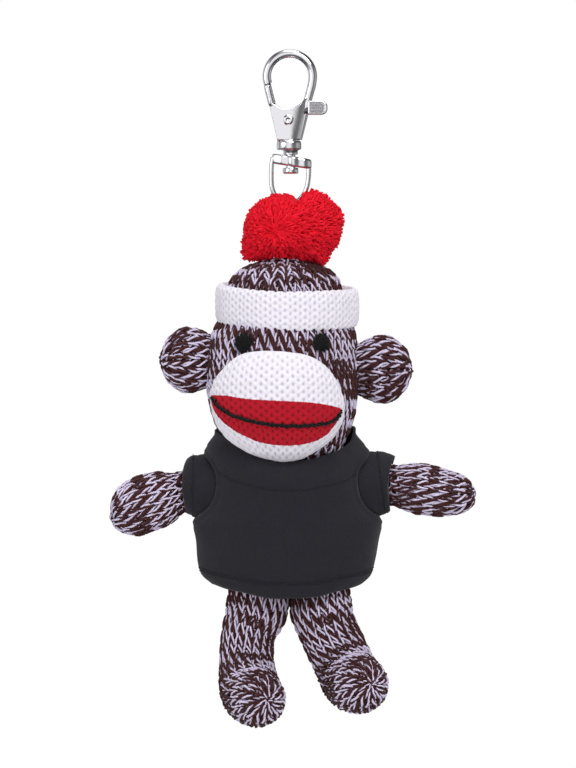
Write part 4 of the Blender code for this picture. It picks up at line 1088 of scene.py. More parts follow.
points, column, row, worn, faces = [muzzle_point(FACE_TURN, MUZZLE_Z, 0)], [0.5], [0.0], [1.0], []
for share, sunk in [
    ((i + 1) / MUZZLE_RINGS, 0) for i in range(MUZZLE_RINGS)
] + [(1.0, 0.0011), (0.98, 0.0024)]:
    for j in range(MUZZLE_SIDES):
        a = 2 * math.pi * j / MUZZLE_SIDES
        reach = share * muzzle_length(a)
        turn, z = FACE_TURN + reach * math.cos(a) / MUZZLE_ARM, MUZZLE_Z + reach * math.sin(a)
        points.append(on_head(turn, z, muzzle_out(1.0 if sunk else share) - sunk))
        column.append((turn - FACE_TURN) * MUZZLE_PER_RADIAN + 0.5)
        row.append((z - MUZZLE_Z) / MUZZLE_ROW)
        worn.append(0.0 if sunk else min(1, (1 - share) * 14))
points.append(on_head(FACE_TURN, MUZZLE_Z, -0.003))
for numbers, value in ((column, 0.5), (row, 0.0), (worn, 0.0)):
    numbers.append(value)
faces += [(0, 1 + j, 1 + (j + 1) % MUZZLE_SIDES) for j in range(MUZZLE_SIDES)]
for i in range(MUZZLE_RINGS + 1):
    for j in range(MUZZLE_SIDES):
        a, b = 1 + i * MUZZLE_SIDES + j, 1 + i * MUZZLE_SIDES + (j + 1) % MUZZLE_SIDES
        faces.append((a, a + MUZZLE_SIDES, b + MUZZLE_SIDES, b))
last = 1 + (MUZZLE_RINGS + 1) * MUZZLE_SIDES
faces += [(last + (j + 1) % MUZZLE_SIDES, last + j, len(points) - 1) for j in range(MUZZLE_SIDES)]
muzzle_skin = mesh_from("muzzle_skin", points, faces, {"column": column, "row": row, "worn": worn})
muzzle_knit = put_in(
    bpy.data.objects.new("muzzle_knit", grown("muzzle_knit", muzzle_skin, SKIN, SKIN_INPUTS)), "head"
)
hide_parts("muzzle", "muzzle_stuffing")
print("muzzle:", len(muzzle_knit.data.polygons), "faces")

# %% [markdown]
# ## Twine
# The mouth is one long stitch of black yarn, and the loop that holds the doll is a red cord. Both are
# plies that wind round each other along a path. The tree below turns a line into a curve, gives it a
# steady twist and sweeps two small circles along it.

# %% Geometry Nodes: twine
def twine_tree():
    tree, sheet = geometry_sheet("twine", [
        ("Radius", "NodeSocketFloat", 0.0005), ("Turns per metre", "NodeSocketFloat", 300.0),
        ("Step", "NodeSocketFloat", 0.0003), ("Material", "NodeSocketMaterial", None),
    ])
    enter = tree.nodes.new("NodeGroupInput")
    line, radius, turns, step, paint = [Wire(sheet, enter.outputs[i]) for i in range(5)]
    curve = sheet.node("GeometryNodeMeshToCurve", values={0: line})
    even = sheet.node("GeometryNodeResampleCurve", {"mode": "LENGTH"}, {"Curve": curve, "Length": step})
    gone = sheet.node("GeometryNodeSplineParameter", out="Length")
    wound = sheet.node(
        "GeometryNodeSetCurveTilt", values={"Curve": even, "Tilt": gone * turns * (2 * math.pi)}
    )
    kept = sheet.node(
        "GeometryNodeStoreNamedAttribute", {"data_type": "FLOAT", "domain": "POINT"},
        {"Geometry": wound, "Name": "length", "Value": gone * 1000.0},
    )
    profiles = sheet.tree.nodes.new("GeometryNodeJoinGeometry")
    for side in (-1.0, 1.0):
        ring = sheet.node(
            "GeometryNodeCurvePrimitiveCircle", values={"Resolution": 7, "Radius": radius * 0.58}
        )
        far = sheet.node("ShaderNodeCombineXYZ", values={0: radius * (0.5 * side)})
        moved = sheet.node("GeometryNodeSetPosition", values={"Geometry": ring, "Offset": far})
        marked = sheet.node(
            "GeometryNodeStoreNamedAttribute", {"data_type": "FLOAT", "domain": "POINT"},
            {"Geometry": moved, "Name": "around",
            "Value": sheet.node("GeometryNodeSplineParameter", out="Factor")},
        )
        tree.links.new(marked.socket, profiles.inputs[0])
    swept = sheet.node(
        "GeometryNodeCurveToMesh",
        values={"Curve": kept, "Profile Curve": Wire(sheet, profiles.outputs[0]), "Fill Caps": True}
    )
    smooth = sheet.node("GeometryNodeSetShadeSmooth", values={"Geometry": swept})
    sheet.finish(
        "NodeGroupOutput",
        sheet.node("GeometryNodeSetMaterial", values={"Geometry": smooth, "Material": paint})
    )
    return tree


TWINE = twine_tree()


def line_mesh(name, points, closed=False):
    mesh = bpy.data.meshes.new(name)
    edges = [(i, i + 1) for i in range(len(points) - 1)]
    if closed:
        edges.append((len(points) - 1, 0))
    mesh.from_pydata([tuple(p) for p in points], edges, [])
    return mesh


def twine_piece(name, points, radius, turns, paint, body, nodes, closed=False):
    mesh = grown(name, line_mesh(name + "_line", points, closed), TWINE, {
        "Radius": radius, "Turns per metre": turns, "Step": radius * 0.5, "Material": paint,
    })
    piece = put_in(bpy.data.objects.new(name, mesh), body)
    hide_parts(*nodes)
    print(name, len(mesh.polygons), "faces")
    return piece


# %% Stitch the mouth
MOUTH_LINE = [
    (-0.0193, -0.0851), (-0.0175, -0.0871), (-0.0154, -0.0887), (-0.0125, -0.0899), (-0.0089, -0.0909),
    (-0.0038, -0.0918), (0.0, -0.0920), (0.0040, -0.0920), (0.0088, -0.0915), (0.0116, -0.0905),
    (0.0130, -0.0883),
]


def muzzle_at(x, z, extra):
    """The point of the muzzle that the camera sees at x and z."""
    turns = [t for t in np.radians(np.arange(-70, 50, 0.25)) if muzzle_share(t, z) < 0.955]
    places = [muzzle_point(t, z, extra) for t in turns]
    return min(places, key=lambda p: abs(p[0] - x) + 0.02 * (p[1] + 0.025))


mouth = []
for x, z, _ in smooth_path([(*p, 0) for p in MOUTH_LINE], 6):
    ripple = 0.00009 * math.sin(x * 1900) + 0.00006 * math.sin(x * 3300 + 1)
    mouth.append(muzzle_at(x, z + ripple, 0.00022))
for end, inwards in ((0, 1), (-1, -1)):
    mouth[end] = mouth[end] + np.array((0.0002 * inwards, 0.0011, 0))
twine_piece("mouth_thread", mouth, 0.00056, 420.0, BLACK, "head", ["mouth_stitch"])

# %% [markdown]
# ## Tufts
# The pompom is hundreds of cut yarn ends, tied round the middle so that they spread like a ball, and the
# eyes are felted wool with short fibres round the edge. Both are one strand put on many points. Each point
# keeps the way its strand leans, its spin and its size, and the tree below turns the strand to fit.

# %% Geometry Nodes: tufts
def tuft_tree():
    tree, sheet = geometry_sheet(
        "tufts", [("Strand", "NodeSocketObject", None), ("Material", "NodeSocketMaterial", None)]
    )
    enter = tree.nodes.new("NodeGroupInput")
    cloud, strand, paint = [Wire(sheet, enter.outputs[i]) for i in range(3)]
    shape = sheet.node("GeometryNodeObjectInfo", values={0: strand}, out="Geometry")
    lean = named(sheet, "lean", "FLOAT_VECTOR")
    stood = sheet.node("FunctionNodeAlignRotationToVector", {"axis": "Z"}, {"Vector": lean})
    spin = sheet.node(
        "FunctionNodeAxisAngleToRotation", values={"Axis": (0, 0, 1), "Angle": named(sheet, "spin")}
    )
    turned = sheet.node(
        "FunctionNodeRotateRotation", {"rotation_space": "LOCAL"}, {"Rotation": stood, "Rotate By": spin}
    )
    size = named(sheet, "size", "FLOAT_VECTOR")
    placed = sheet.node(
        "GeometryNodeInstanceOnPoints",
        values={"Points": cloud, "Instance": shape, "Rotation": turned, "Scale": size}
    )
    smooth = sheet.node("GeometryNodeSetShadeSmooth", values={
        "Geometry": sheet.node("GeometryNodeRealizeInstances", values={0: placed}),
    })
    sheet.finish(
        "NodeGroupOutput",
        sheet.node("GeometryNodeSetMaterial", values={"Geometry": smooth, "Material": paint})
    )
    return tree


TUFTS = tuft_tree()


def strand_template(name, length, radius, sides, rings, plies, turns, bow, taper):
    """A bent strand that stands on the origin, of one round fibre or of plies wound together."""
    numbers = {"ply": [], "around": [], "length": []}
    points, faces = [], []
    for ply in range(plies):
        start = len(points)
        for i in range(rings + 1):
            share = i / rings
            girth = radius * (0.62 if plies > 1 else 1.0) * (1 - taper * share ** 3)
            spread = radius * 0.5 * (plies > 1) * (1 + 0.5 * share ** 4)
            wound = 2 * math.pi * (turns * share + ply / plies)
            middle = (bow * share * share + spread * math.cos(wound), spread * math.sin(wound))
            for j in range(sides):
                a = 2 * math.pi * j / sides
                points.append(
                    (middle[0] + girth * math.cos(a), middle[1] + girth * math.sin(a), length * share)
                )
                numbers["ply"].append(ply)
                numbers["around"].append(j / sides)
                numbers["length"].append(length * share * 1000)
        for i in range(rings):
            for j in range(sides):
                a, b = start + i * sides + j, start + i * sides + (j + 1) % sides
                faces.append((a, b, b + sides, a + sides))
        faces.append(tuple(start + j for j in range(sides))[::-1])
        faces.append(tuple(start + rings * sides + j for j in range(sides)))
    return bpy.data.objects.new(name, mesh_from(name, points, faces, numbers))


def tuft_cloud(name, spots):
    """Loose points from (root, lean, size, spin) rows."""
    roots, leans, sizes, spins = zip(*spots)
    return mesh_from(name, roots, [], {"spin": spins}, {"lean": leans, "size": sizes})


def lump_mesh(name, centre, radii, rings, sides, power, paint):
    """A closed rounded lump, with power 2 an ellipsoid and above it a squarer one."""
    points = [tuple(np.array(centre) - np.array((0, 0, radii[2])))]
    for i in range(1, rings):
        for j in range(sides):
            tilt, turn = math.pi * (i / rings - 0.5), 2 * math.pi * j / sides
            way = np.array((math.cos(tilt) * math.cos(turn), math.cos(tilt) * math.sin(turn), math.sin(tilt)))
            way /= (np.abs(way) ** power).sum() ** (1 / power)
            points.append(tuple(np.array(centre) + way * np.array(radii)))
    points.append(tuple(np.array(centre) + np.array((0, 0, radii[2]))))
    faces = [(0, 1 + (j + 1) % sides, 1 + j) for j in range(sides)]
    for i in range(rings - 2):
        for j in range(sides):
            a, b = 1 + i * sides + j, 1 + i * sides + (j + 1) % sides
            faces.append((a, b, b + sides, a + sides))
    last = 1 + (rings - 2) * sides
    faces += [(last + j, last + (j + 1) % sides, len(points) - 1) for j in range(sides)]
    mesh = mesh_from(name, points, faces)
    mesh.materials.append(paint)
    mesh.shade_smooth()
    return mesh


print("tuft tree:", len(TUFTS.nodes), "nodes")

# %% [markdown]
# ## The pompom
# Yarn is wound into a bundle, tied tight in the middle and cut, and the ends spring out. They come from
# the tie, so they run sideways over the front of the ball and show their length, and only near the rim do
# they point at the eye. The ball parts at the top, where the wire of the clasp lies in it. A strand that
# would cross the wire's way or enter the head is left out.

# %% Grow the pompom
POMPOM_CENTRE = np.array((0.0006, 0, -0.0424))
POMPOM_DEPTH = 0.0112
POMPOM_REACH = [
    (-90, 8.6), (-62, 10.2), (-47, 12.3), (-30, 12.0), (-15, 13.0), (0, 12.9), (17, 13.1), (37, 11.8),
    (52, 11.7),
    (63, 10.4), (68, 8.5), (72, 6.6), (77, 5.2), (81, 6.8), (85, 7.9), (92, 8.6), (104, 8.8), (129, 10.1),
    (148, 10.7), (170, 11.6), (187, 12.5), (203, 13.8),
    (214, 14.6), (228, 11.6), (244, 9.9), (270, 8.6),
]
POMPOM_STRANDS = 2300
STRAND = 0.0086
YARN_END = strand_template("yarn_end", STRAND, 0.00056, 4, 6, 2, 1.0, 0.0004, 0.12)
TIED_AT = np.array((-0.0032, 0, -0.0437))
NOTCH = np.array((0.0019, 0, -0.0369))
WIRE_Z = -0.0366
WIRE_HALF_WIDTH = 0.0062


def in_wires_way(p):
    over = p[2] - WIRE_Z
    return over > -0.0012 and abs(p[0] - 0.0004) < WIRE_HALF_WIDTH and abs(p[1]) < 0.0009 + 0.5 * max(over, 0)


def in_notch(p):
    """The narrow V where the ball parts at the top."""
    over = p[2] - NOTCH[2]
    return over > 0 and abs(p[0] - NOTCH[0] - 0.22 * over) < 0.00025 + 0.20 * over and abs(p[1]) < 0.0060


def pompom_spots():
    chance = random.Random(5)
    spots = []
    for k in range(POMPOM_STRANDS):
        high = 1 - 2 * (k + 0.5) / POMPOM_STRANDS
        turn = k * math.pi * (3 - math.sqrt(5))
        way = np.array(
            (math.cos(turn) * math.sqrt(1 - high * high), math.sin(turn) * math.sqrt(1 - high * high), high)
        )
        way += np.array([chance.uniform(-0.05, 0.05) for _ in range(3)])
        way /= np.linalg.norm(way)
        seen = math.degrees(math.atan2(way[2], way[0]))
        rim = float(
            np.interp(seen if seen > -90 else seen + 360, [r[0] for r in POMPOM_REACH],
            [r[1] for r in POMPOM_REACH])
        ) / 1000
        reach = 1 / math.hypot(math.hypot(way[0], way[2]) / rim, way[1] / POMPOM_DEPTH)
        lump = 0.03 * math.sin(way[0] * 7 + way[2] * 4) + 0.025 * math.sin(way[2] * 9 - way[1] * 5)
        tip = POMPOM_CENTRE + way * reach * (1 + lump * 0.6 - 0.02 + chance.uniform(-0.05, 0.04))
        flat = (tip - TIED_AT) * (1, 0, 1)
        far = np.linalg.norm(flat)
        dimple = math.exp(-((far / 0.0026) ** 2))
        tip = tip * (1, 1 - 0.34 * dimple, 1)
        lean = (
            tip - TIED_AT
        ) / np.linalg.norm(tip - TIED_AT) * (1, 0.62, 1) + flat / max(far, 1e-6) * 0.45 * abs(way[1])
        lean += np.array([chance.uniform(-0.09, 0.09) for _ in range(3)])
        lean /= np.linalg.norm(lean)
        size = chance.uniform(0.85, 1.1)
        root = tip - lean * STRAND * size
        if tip[2] < -0.0522 or (
            tip[2] < HEAD_TOP and math.hypot(tip[0] - HEAD_X, tip[1]) < head_radius(tip[2]) + 0.0002
        ):
            continue
        if any(
            in_wires_way(p) or in_notch(p) for p in (root + (tip - root) * share for share in (0.3, 0.6, 0.8,
            1.0))
        ):
            continue
        spots.append(
            (root, lean, (chance.uniform(0.85, 1.12), chance.uniform(0.85, 1.12), size),
            chance.uniform(0, 6.28))
        )
    return spots


tuft_spots = pompom_spots()
pompom_yarn = grown(
    "pompom_yarn", tuft_cloud("pompom_cloud", tuft_spots), TUFTS, {"Strand": YARN_END, "Material": RED}
)
# The pompom's core is the red yarn at under half its brightness: painted shade deep between the strands.
RED_GAP_SHADE = gap_shade_material("red_ground", (0.40, 0.003, 0.010))
pompom_core = lump_mesh(
    "pompom_core", POMPOM_CENTRE + np.array((0, 0, -0.0018)), (0.0078, 0.0070, 0.0048), 12, 24, 2.0,
    RED_GAP_SHADE
)
pompom_tuft = joined("pompom_tuft", [pompom_yarn, pompom_core], "head")
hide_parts("pompom")
print("pompom:", len(tuft_spots), "strands,", len(pompom_tuft.data.polygons), "faces")

# %% [markdown]
# ## The tie and the hanging loop
# A turn of the same yarn holds the bundle, and a cord loop is sewn through the crown and goes up through
# the ball to the wire of the clasp. Both are closed rings, so their twist is a whole number of turns.

# %% Wind the tie and the loop
HANG_X = 0.0004
LOOP_TOP = -0.03645
LOOP_LOW = -0.04985
LOOP_HALF = 0.00155
TIE_RADIUS = 0.00285


def ring_twist(points, turns):
    around = sum(np.linalg.norm(np.subtract(b, a)) for a, b in zip(points, points[1:] + points[:1]))
    return turns / around


tie_line = [
    (HANG_X + TIE_RADIUS * math.cos(a), TIE_RADIUS * math.sin(a), -0.0424) for a in np.linspace(0,
    2 * math.pi, 40, endpoint=False)
]
twine_piece(
    "tie_cord", tie_line, 0.00038, ring_twist(tie_line, 10), RED, "head", ["pompom_tie"],
    closed=True
)
loop_line = [
    (HANG_X, LOOP_HALF * math.cos(a), LOOP_TOP + LOOP_HALF * math.sin(a)) for a in np.linspace(0, math.pi, 14)
]
loop_line += [
    (HANG_X, -LOOP_HALF, LOOP_TOP + (LOOP_LOW - LOOP_TOP) * share) for share in np.linspace(0, 1, 16)[1:-1]
]
loop_line += [
    (HANG_X, LOOP_HALF * math.cos(a), LOOP_LOW + LOOP_HALF * math.sin(a)) for a in np.linspace(math.pi,
    2 * math.pi, 14)
]
loop_line += [
    (HANG_X, LOOP_HALF, LOOP_LOW + (LOOP_TOP - LOOP_LOW) * share) for share in np.linspace(0, 1, 16)[1:-1]
]
twine_piece(
    "loop_cord", loop_line, 0.0006, ring_twist(loop_line, 14), RED, "head", ["hanger_loop"],
    closed=True
)

# %% [markdown]
# ## The eyes
# Each eye is a disc of black felted wool, pressed on the face: a low dome with an uneven surface and
# short fibres that lie every way, so its edge is soft.

# %% Felt the eyes
EYE_Z = -0.0713
EYE_RADIUS = 0.0021
EYE_RISE = 0.0012
FIBRE = strand_template("fibre", 0.0008, 0.000055, 3, 4, 1, 0.0, 0.0003, 0.7)


def eye_point(turn, across, up, extra):
    """across and up are shares of the eye's radius."""
    share = min(math.hypot(across, up), 1.0)
    z = EYE_Z + up * EYE_RADIUS
    return on_head(
        turn + across * EYE_RADIUS / head_radius(EYE_Z), z,
        EYE_RISE * math.sqrt(max(1 - share ** 3, 0)) * 0.9 + 0.0001 + extra
    )


def felt_eye(name, turn, node, seed):
    chance = random.Random(seed)
    rings, sides = 10, 40
    rim = [
        1 + 0.05 * math.sin(3 * a + seed) + 0.04 * math.sin(5 * a) for a in np.linspace(0, 2 * math.pi, sides,
        endpoint=False)
    ]
    points = [eye_point(turn, 0, 0, 0)]
    for i in range(1, rings + 1):
        for j in range(sides):
            a, share = 2 * math.pi * j / sides, math.sin(math.pi / 2 * i / rings) * rim[j]
            bump = chance.uniform(-0.00004, 0.00004)
            points.append(eye_point(turn, share * math.cos(a), share * math.sin(a), bump))
    for j in range(sides):
        a = 2 * math.pi * j / sides
        points.append(eye_point(turn, 0.98 * rim[j] * math.cos(a), 0.98 * rim[j] * math.sin(a), -0.0009))
    faces = [(0, 1 + j, 1 + (j + 1) % sides) for j in range(sides)]
    for i in range(rings):
        for j in range(sides):
            a, b = 1 + i * sides + j, 1 + i * sides + (j + 1) % sides
            faces.append((a, a + sides, b + sides, b))
    faces.append(tuple(1 + rings * sides + j for j in range(sides))[::-1])
    dome = mesh_from(name + "_dome", points, faces)
    dome.materials.append(BLACK)
    dome.shade_smooth()
    out = np.array((math.sin(turn), -math.cos(turn), 0.0))
    spots = []
    for _ in range(520):
        a, share = chance.uniform(0, 2 * math.pi), math.sqrt(chance.uniform(0, 1))
        root = eye_point(turn, share * math.cos(a), share * math.sin(a), -0.00012)
        flat = chance.uniform(0, 2 * math.pi) if share < 0.75 else a + chance.uniform(-1.1, 1.1)
        lean = np.array((math.cos(turn) * math.cos(flat), math.sin(turn) * math.cos(flat), math.sin(flat)))
        lean = lean + out * chance.uniform(0.12, 0.7)
        size = chance.uniform(0.6, 1.15)
        spots.append((root, lean / np.linalg.norm(lean), (1, 1, size), chance.uniform(0, 6.28)))
    wool = grown(
        name + "_wool", tuft_cloud(name + "_cloud", spots), TUFTS, {"Strand": FIBRE, "Material": BLACK}
    )
    eye = joined(name, [dome, wool], "head")
    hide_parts(node)
    print(name, len(eye.data.polygons), "faces")


felt_eye("left_felt_eye", math.radians(-33.8), "left_eye", 2)
felt_eye("right_felt_eye", math.radians(29.7), "right_eye", 3)

# %% [markdown]
# ## The torso under the shirt
# Only the rounded lower end of the body can be seen, from below, between the legs. So the stitches stop a
# short way up inside the shirt, and the closed sheet behind them, painted dark as shade, goes on to the neck.

# %% Knit the torso
SHIRT_TOP = -0.0920
SHIRT_HEIGHT = 0.0435
SHIRT_HALF_WIDTH = 0.0227
SHIRT_HALF_DEPTH = 0.0186
SHIRT_PROFILE = [
    (0.0, 0.7841, 0.9570, 1.0), (0.0437, 0.7974, 0.9677, 1.0), (0.0828, 0.8326, 0.9892, 1.0),
    (0.1724, 0.8722, 1.0, 0.8), (0.2874, 0.8678, 0.9677, 0.6), (0.4598, 0.9383, 0.9032, 0.4),
    (0.6437, 1.0, 0.8710, 0.4), (0.8276, 0.9559, 0.8172, 0.6), (0.9080, 0.8458, 0.7634, 0.5),
    (1.0, 0.7577, 0.6989, 0.3),
]
shirt_curve = smooth_path(SHIRT_PROFILE, 6)
NECK_SEAM = -0.10125
TORSO_HEIGHT = 0.03175
TORSO_PROFILE = [
    (0.36, 0.995), (0.70, 0.95), (0.92, 0.84), (1.0, 0.68), (1.0, 0.48), (1.0, 0.28), (0.96, 0.14),
    (0.80, 0.06), (0.60, 0.0),
]


def shirt_size(z):
    """Half the width, half the depth and the centre of the shirt at a height."""
    down = (SHIRT_TOP - z) / SHIRT_HEIGHT
    wide, deep, shift = [float(np.interp(down, shirt_curve[:, 0], shirt_curve[:, i])) for i in (1, 2, 3)]
    return wide * SHIRT_HALF_WIDTH, deep * SHIRT_HALF_DEPTH, shift * HEAD_X


def torso_station(size, down):
    z = NECK_SEAM - down * TORSO_HEIGHT
    wide, deep, centre = shirt_size(z)
    return (centre, 0, z), size * (deep - 0.0019), size * (wide - 0.0019)


TORSO = Tube([torso_station(size, down) for size, down in TORSO_PROFILE], (0, -1, 0))
torso_spots = knit_tube(TORSO.form, TORSO.length, 44, ROW, COLUMN, SINK, lambda u, v: v < 0.016, seed=9)
torso_yarn = grown("torso_yarn", stitch_cloud("torso_cloud", torso_spots), KNITTING, MARL_INPUTS)
torso_ground = skin_mesh("torso_ground", TORSO.form, TORSO.length, 48, 24, 0.0012, TORSO.axis, MARL_GAP_SHADE)
torso_knit = joined("torso_knit", [torso_yarn, torso_ground], "torso")
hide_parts("torso", "torso_stuffing")
print("torso:", len(torso_spots), "stitches")

# %% [markdown]
# ## Jersey
# A T-shirt is fine jersey: the same stitch as the doll's skin, but a third of a millimetre wide, so here it
# is a bump. Each sheet of cloth carries two attributes, the millimetres across and along the cloth, and
# the material makes its columns (wales) and its rows from them. They follow the cut of each piece.

# %% Jersey material
def jersey_material():
    paint, sheet = new_material("jersey")
    across = sheet.attribute("across")
    along = sheet.attribute("along")
    where = sheet.node("ShaderNodeTexCoord", out="Object")
    soft = sheet.noise(160.0, 3.0, where)
    fine = sheet.noise(4200.0, 2.0, where)
    base = sheet.mixed(soft, (0.0165, 0.0158, 0.0215), (0.0205, 0.0195, 0.0262))
    # The cosine over the wales darkens the grooves between them: painted shade. The fine noise is the cloth's
    # own mottle.
    shade = 1.0 + (fine - 0.5) * 0.5 + (across * (2 * math.pi / 0.5)).cosine() * 0.06
    grey = sheet.node("ShaderNodeCombineXYZ", values={0: shade, 1: shade, 2: shade})
    wales = (across * (2 * math.pi / 0.5)).cosine()
    rows = (along * (2 * math.pi / 0.36) + wales * 0.8).sine()
    height = wales * 0.5 + rows * 0.25 + fine * 0.5
    bump = sheet.node("ShaderNodeBump", values={"Strength": 0.35, "Distance": 0.00010, "Height": height})
    skin = sheet.node(
        "ShaderNodeBsdfPrincipled",
        values={
            "Base Color": sheet.mixed(1.0, base, grey, "MULTIPLY"), "Roughness": 0.9, "Normal": bump,
            "Specular IOR Level": 0.2, "Sheen Weight": 0.12, "Sheen Roughness": 0.5,
        },
    )
    sheet.finish("ShaderNodeOutputMaterial", skin)
    return paint


JERSEY = jersey_material()
THREAD = yarn_material("shirt_thread", (0.0175, 0.0168, 0.0225), (0.0195, 0.0185, 0.0250), 0.05)
print("jersey ready")

# %% [markdown]
# ## The T-shirt
# The shirt's body is a short tube of jersey with a stand-up collar that leans in on the neck, two armholes
# and a hem that draws in. It starts as a grid round the body: one column for each step of the turn, one
# row for each step from the collar's edge to the hem. Then the cloth inside each armhole is cut away and
# its edge is moved onto a clean ring, and the grid gets a thickness. The folds are small, because the
# cloth is stretched over a stuffed body: soft ones run from the armholes, and the hem waves a little.

# %% Cut the shirt's body
SHIRT_THICKNESS = 0.00055
SHOULDERS = {"left": (-0.0190, -0.1074), "right": (0.0180, -0.1074)}
ARMHOLE = 0.0087
SHIRT_TURNS = 224
SHIRT_ROWS = 96
COLLAR_EDGE = [
    (-180, -0.0919), (-120, -0.0922), (-90, -0.0934), (-75, -0.0938), (-60, -0.0949), (-45, -0.0969),
    (-28, -0.0995), (-12, -0.1005), (0, -0.1008), (15, -0.1008), (30, -0.1003), (45, -0.0992), (60, -0.0978),
    (75, -0.0958), (90, -0.0932), (105, -0.0922), (180, -0.0919),
]
COLLAR_SEAM = [
    (-180, -0.0985), (-110, -0.0990), (-70, -0.1015), (-45, -0.1045), (-15, -0.1070), (10, -0.1073),
    (45, -0.1050), (70, -0.1022), (110, -0.0990), (180, -0.0985)
]
HEM_SIDE = -0.1316
HEM_FRONT_DROP = 0.0035
HEM_BACK_DROP = 0.0022


def from_table(table, turn):
    degrees = (math.degrees(turn) + 180) % 360 - 180
    return float(np.interp(degrees, [row[0] for row in table], [row[1] for row in table]))


def hem_edge(turn):
    drop = HEM_FRONT_DROP if math.cos(turn) > 0 else HEM_BACK_DROP
    return HEM_SIDE - drop * math.cos(turn) ** 2 + 0.00012 * math.sin(turn * 9 + 1)


def bell(value):
    return math.exp(-value * value)


def shirt_place(turn, z, out=0.0):
    """The shirt's outer face at a turn and a height, with its collar, folds and seams."""
    wide, deep, centre = shirt_size(z)
    edge = from_table(COLLAR_EDGE, turn)
    seam = from_table(COLLAR_SEAM, turn)
    drop = edge - z
    way = np.array((math.sin(turn), -math.cos(turn)))
    plain = np.array((centre + wide * way[0], deep * way[1]))
    reach = 0.0034 + 0.0036 * abs(math.cos(turn)) ** 1.5
    lean = max(1 - max(drop, 0) / reach, 0) ** 1.35
    hug = head_radius(max(edge, HEAD_TOP - HEAD_HEIGHT)) + 0.0011
    near = np.array((HEAD_X + hug * way[0], hug * way[1]))
    flat = plain * (1 - lean) + near * lean
    hem = hem_edge(turn)
    up = z - hem
    lift = -0.00007 * bell((z - seam) / 0.00050) + 0.00005 * bell((z - seam - 0.0010) / 0.0009)
    lift += -0.00003 * bell((up - 0.0037) / 0.00040) + 0.00005 * bell((up - 0.0018) / 0.0012)
    lift += -0.0005 * max(1 - up / 0.0016, 0) ** 2 + 0.0003 * max(1 - drop / 0.0012, 0) * bell(drop / 0.001)
    lift += 0.00016 * math.sin(turn * 7 + z * 300) * bell((up - 0.003) / 0.006)
    lift += (
        0.0013 if math.sin(turn) > 0 else 0.0006
    ) * abs(math.sin(turn)) ** 4 * bell((z + 0.0993) / 0.0032)
    lift += 0.0014 * abs(math.sin(turn)) ** 4 * bell((z + 0.1160) / 0.0032)
    for side, (x, shoulder) in SHOULDERS.items():
        away = math.hypot(plain[0] - x, z - shoulder)
        round_it = math.atan2(z - shoulder, -(plain[0] - x) if side == "left" else plain[0] - x)
        lift += 0.00034 * math.sin(round_it * 5.0 + 0.6) * bell(
            (away - 0.0125) / 0.0042
        ) * abs(math.cos(turn))
        far = math.dist((flat[0], flat[1], z), (x, 0, shoulder))
        lift += 0.00016 * bell(
            (far - ARMHOLE - 0.0006) / 0.0005
        ) - 0.00010 * bell((far - ARMHOLE - 0.0016) / 0.0005)
    grow = lift + out
    return np.array((flat[0] + way[0] * grow, flat[1] + way[1] * grow, z))


def pushed_out(p, side):
    """Moves a point onto the ring round a shoulder, away from its middle."""
    x, z = SHOULDERS[side]
    middle = np.array((x, 0.0, z))
    towards = p - middle
    return middle + towards / np.linalg.norm(towards) * ARMHOLE


def shirt_grid():
    points, across, along, holes = [], [], [], []
    for i in range(SHIRT_ROWS + 1):
        for j in range(SHIRT_TURNS):
            turn = 2 * math.pi * j / SHIRT_TURNS
            edge, hem = from_table(COLLAR_EDGE, turn), hem_edge(turn)
            share = i / SHIRT_ROWS
            z = edge + (hem - edge) * (share * 0.85 + 0.15 * share * share)
            p = shirt_place(turn, z)
            points.append(p)
            across.append(turn * 20.6)
            along.append((edge - z) * 1000)
            far = {side: math.dist(p, (x, 0, up)) for side, (x, up) in SHOULDERS.items()}
            holes.append(min(far, key=far.get) if min(far.values()) < ARMHOLE else "")
    quads = []
    for i in range(SHIRT_ROWS):
        for j in range(SHIRT_TURNS):
            a, b = i * SHIRT_TURNS + j, i * SHIRT_TURNS + (j + 1) % SHIRT_TURNS
            quads.append((a, a + SHIRT_TURNS, b + SHIRT_TURNS, b))
    kept = [q for q in quads if not all(holes[k] for k in q)]
    used = sorted({k for q in kept for k in q})
    for k in used:
        if holes[k]:
            points[k] = pushed_out(points[k], holes[k])
    new = {k: n for n, k in enumerate(used)}
    mesh = mesh_from(
        "shirt_cloth", [points[k] for k in used], [tuple(new[k] for k in q) for q in kept],
        {"across": [across[k] for k in used], "along": [along[k] for k in used]},
    )
    mesh.materials.append(JERSEY)
    mesh.shade_smooth()
    return mesh


def thickened(name, mesh, thickness):
    """The same cloth with a thickness inwards, as a plain mesh."""
    cloth = bpy.data.objects.new(name, mesh)
    bpy.context.scene.collection.objects.link(cloth)
    wall = cloth.modifiers.new("wall", "SOLIDIFY")
    wall.thickness = thickness
    wall.offset = -1
    wall.use_even_offset = False
    made = bpy.data.meshes.new_from_object(cloth.evaluated_get(bpy.context.evaluated_depsgraph_get()))
    bpy.data.objects.remove(cloth)
    made.name = name
    return made


def stitch_line(places, gap):
    """Short threads along a line of points on the cloth, one for each gap."""
    gone = np.concatenate([[0], np.cumsum([math.dist(a, b) for a, b in zip(places, places[1:])])])
    spots = []
    table = np.array(places)
    for start in np.arange(0, gone[-1] - gap, gap):
        root = np.array([np.interp(start, gone, table[:, i]) for i in range(3)])
        end = np.array([np.interp(start + gap * 0.72, gone, table[:, i]) for i in range(3)])
        lean = (end - root) / np.linalg.norm(end - root)
        spots.append((root, lean, (1, 1, np.linalg.norm(end - root) / 0.001), 0.0))
    return spots


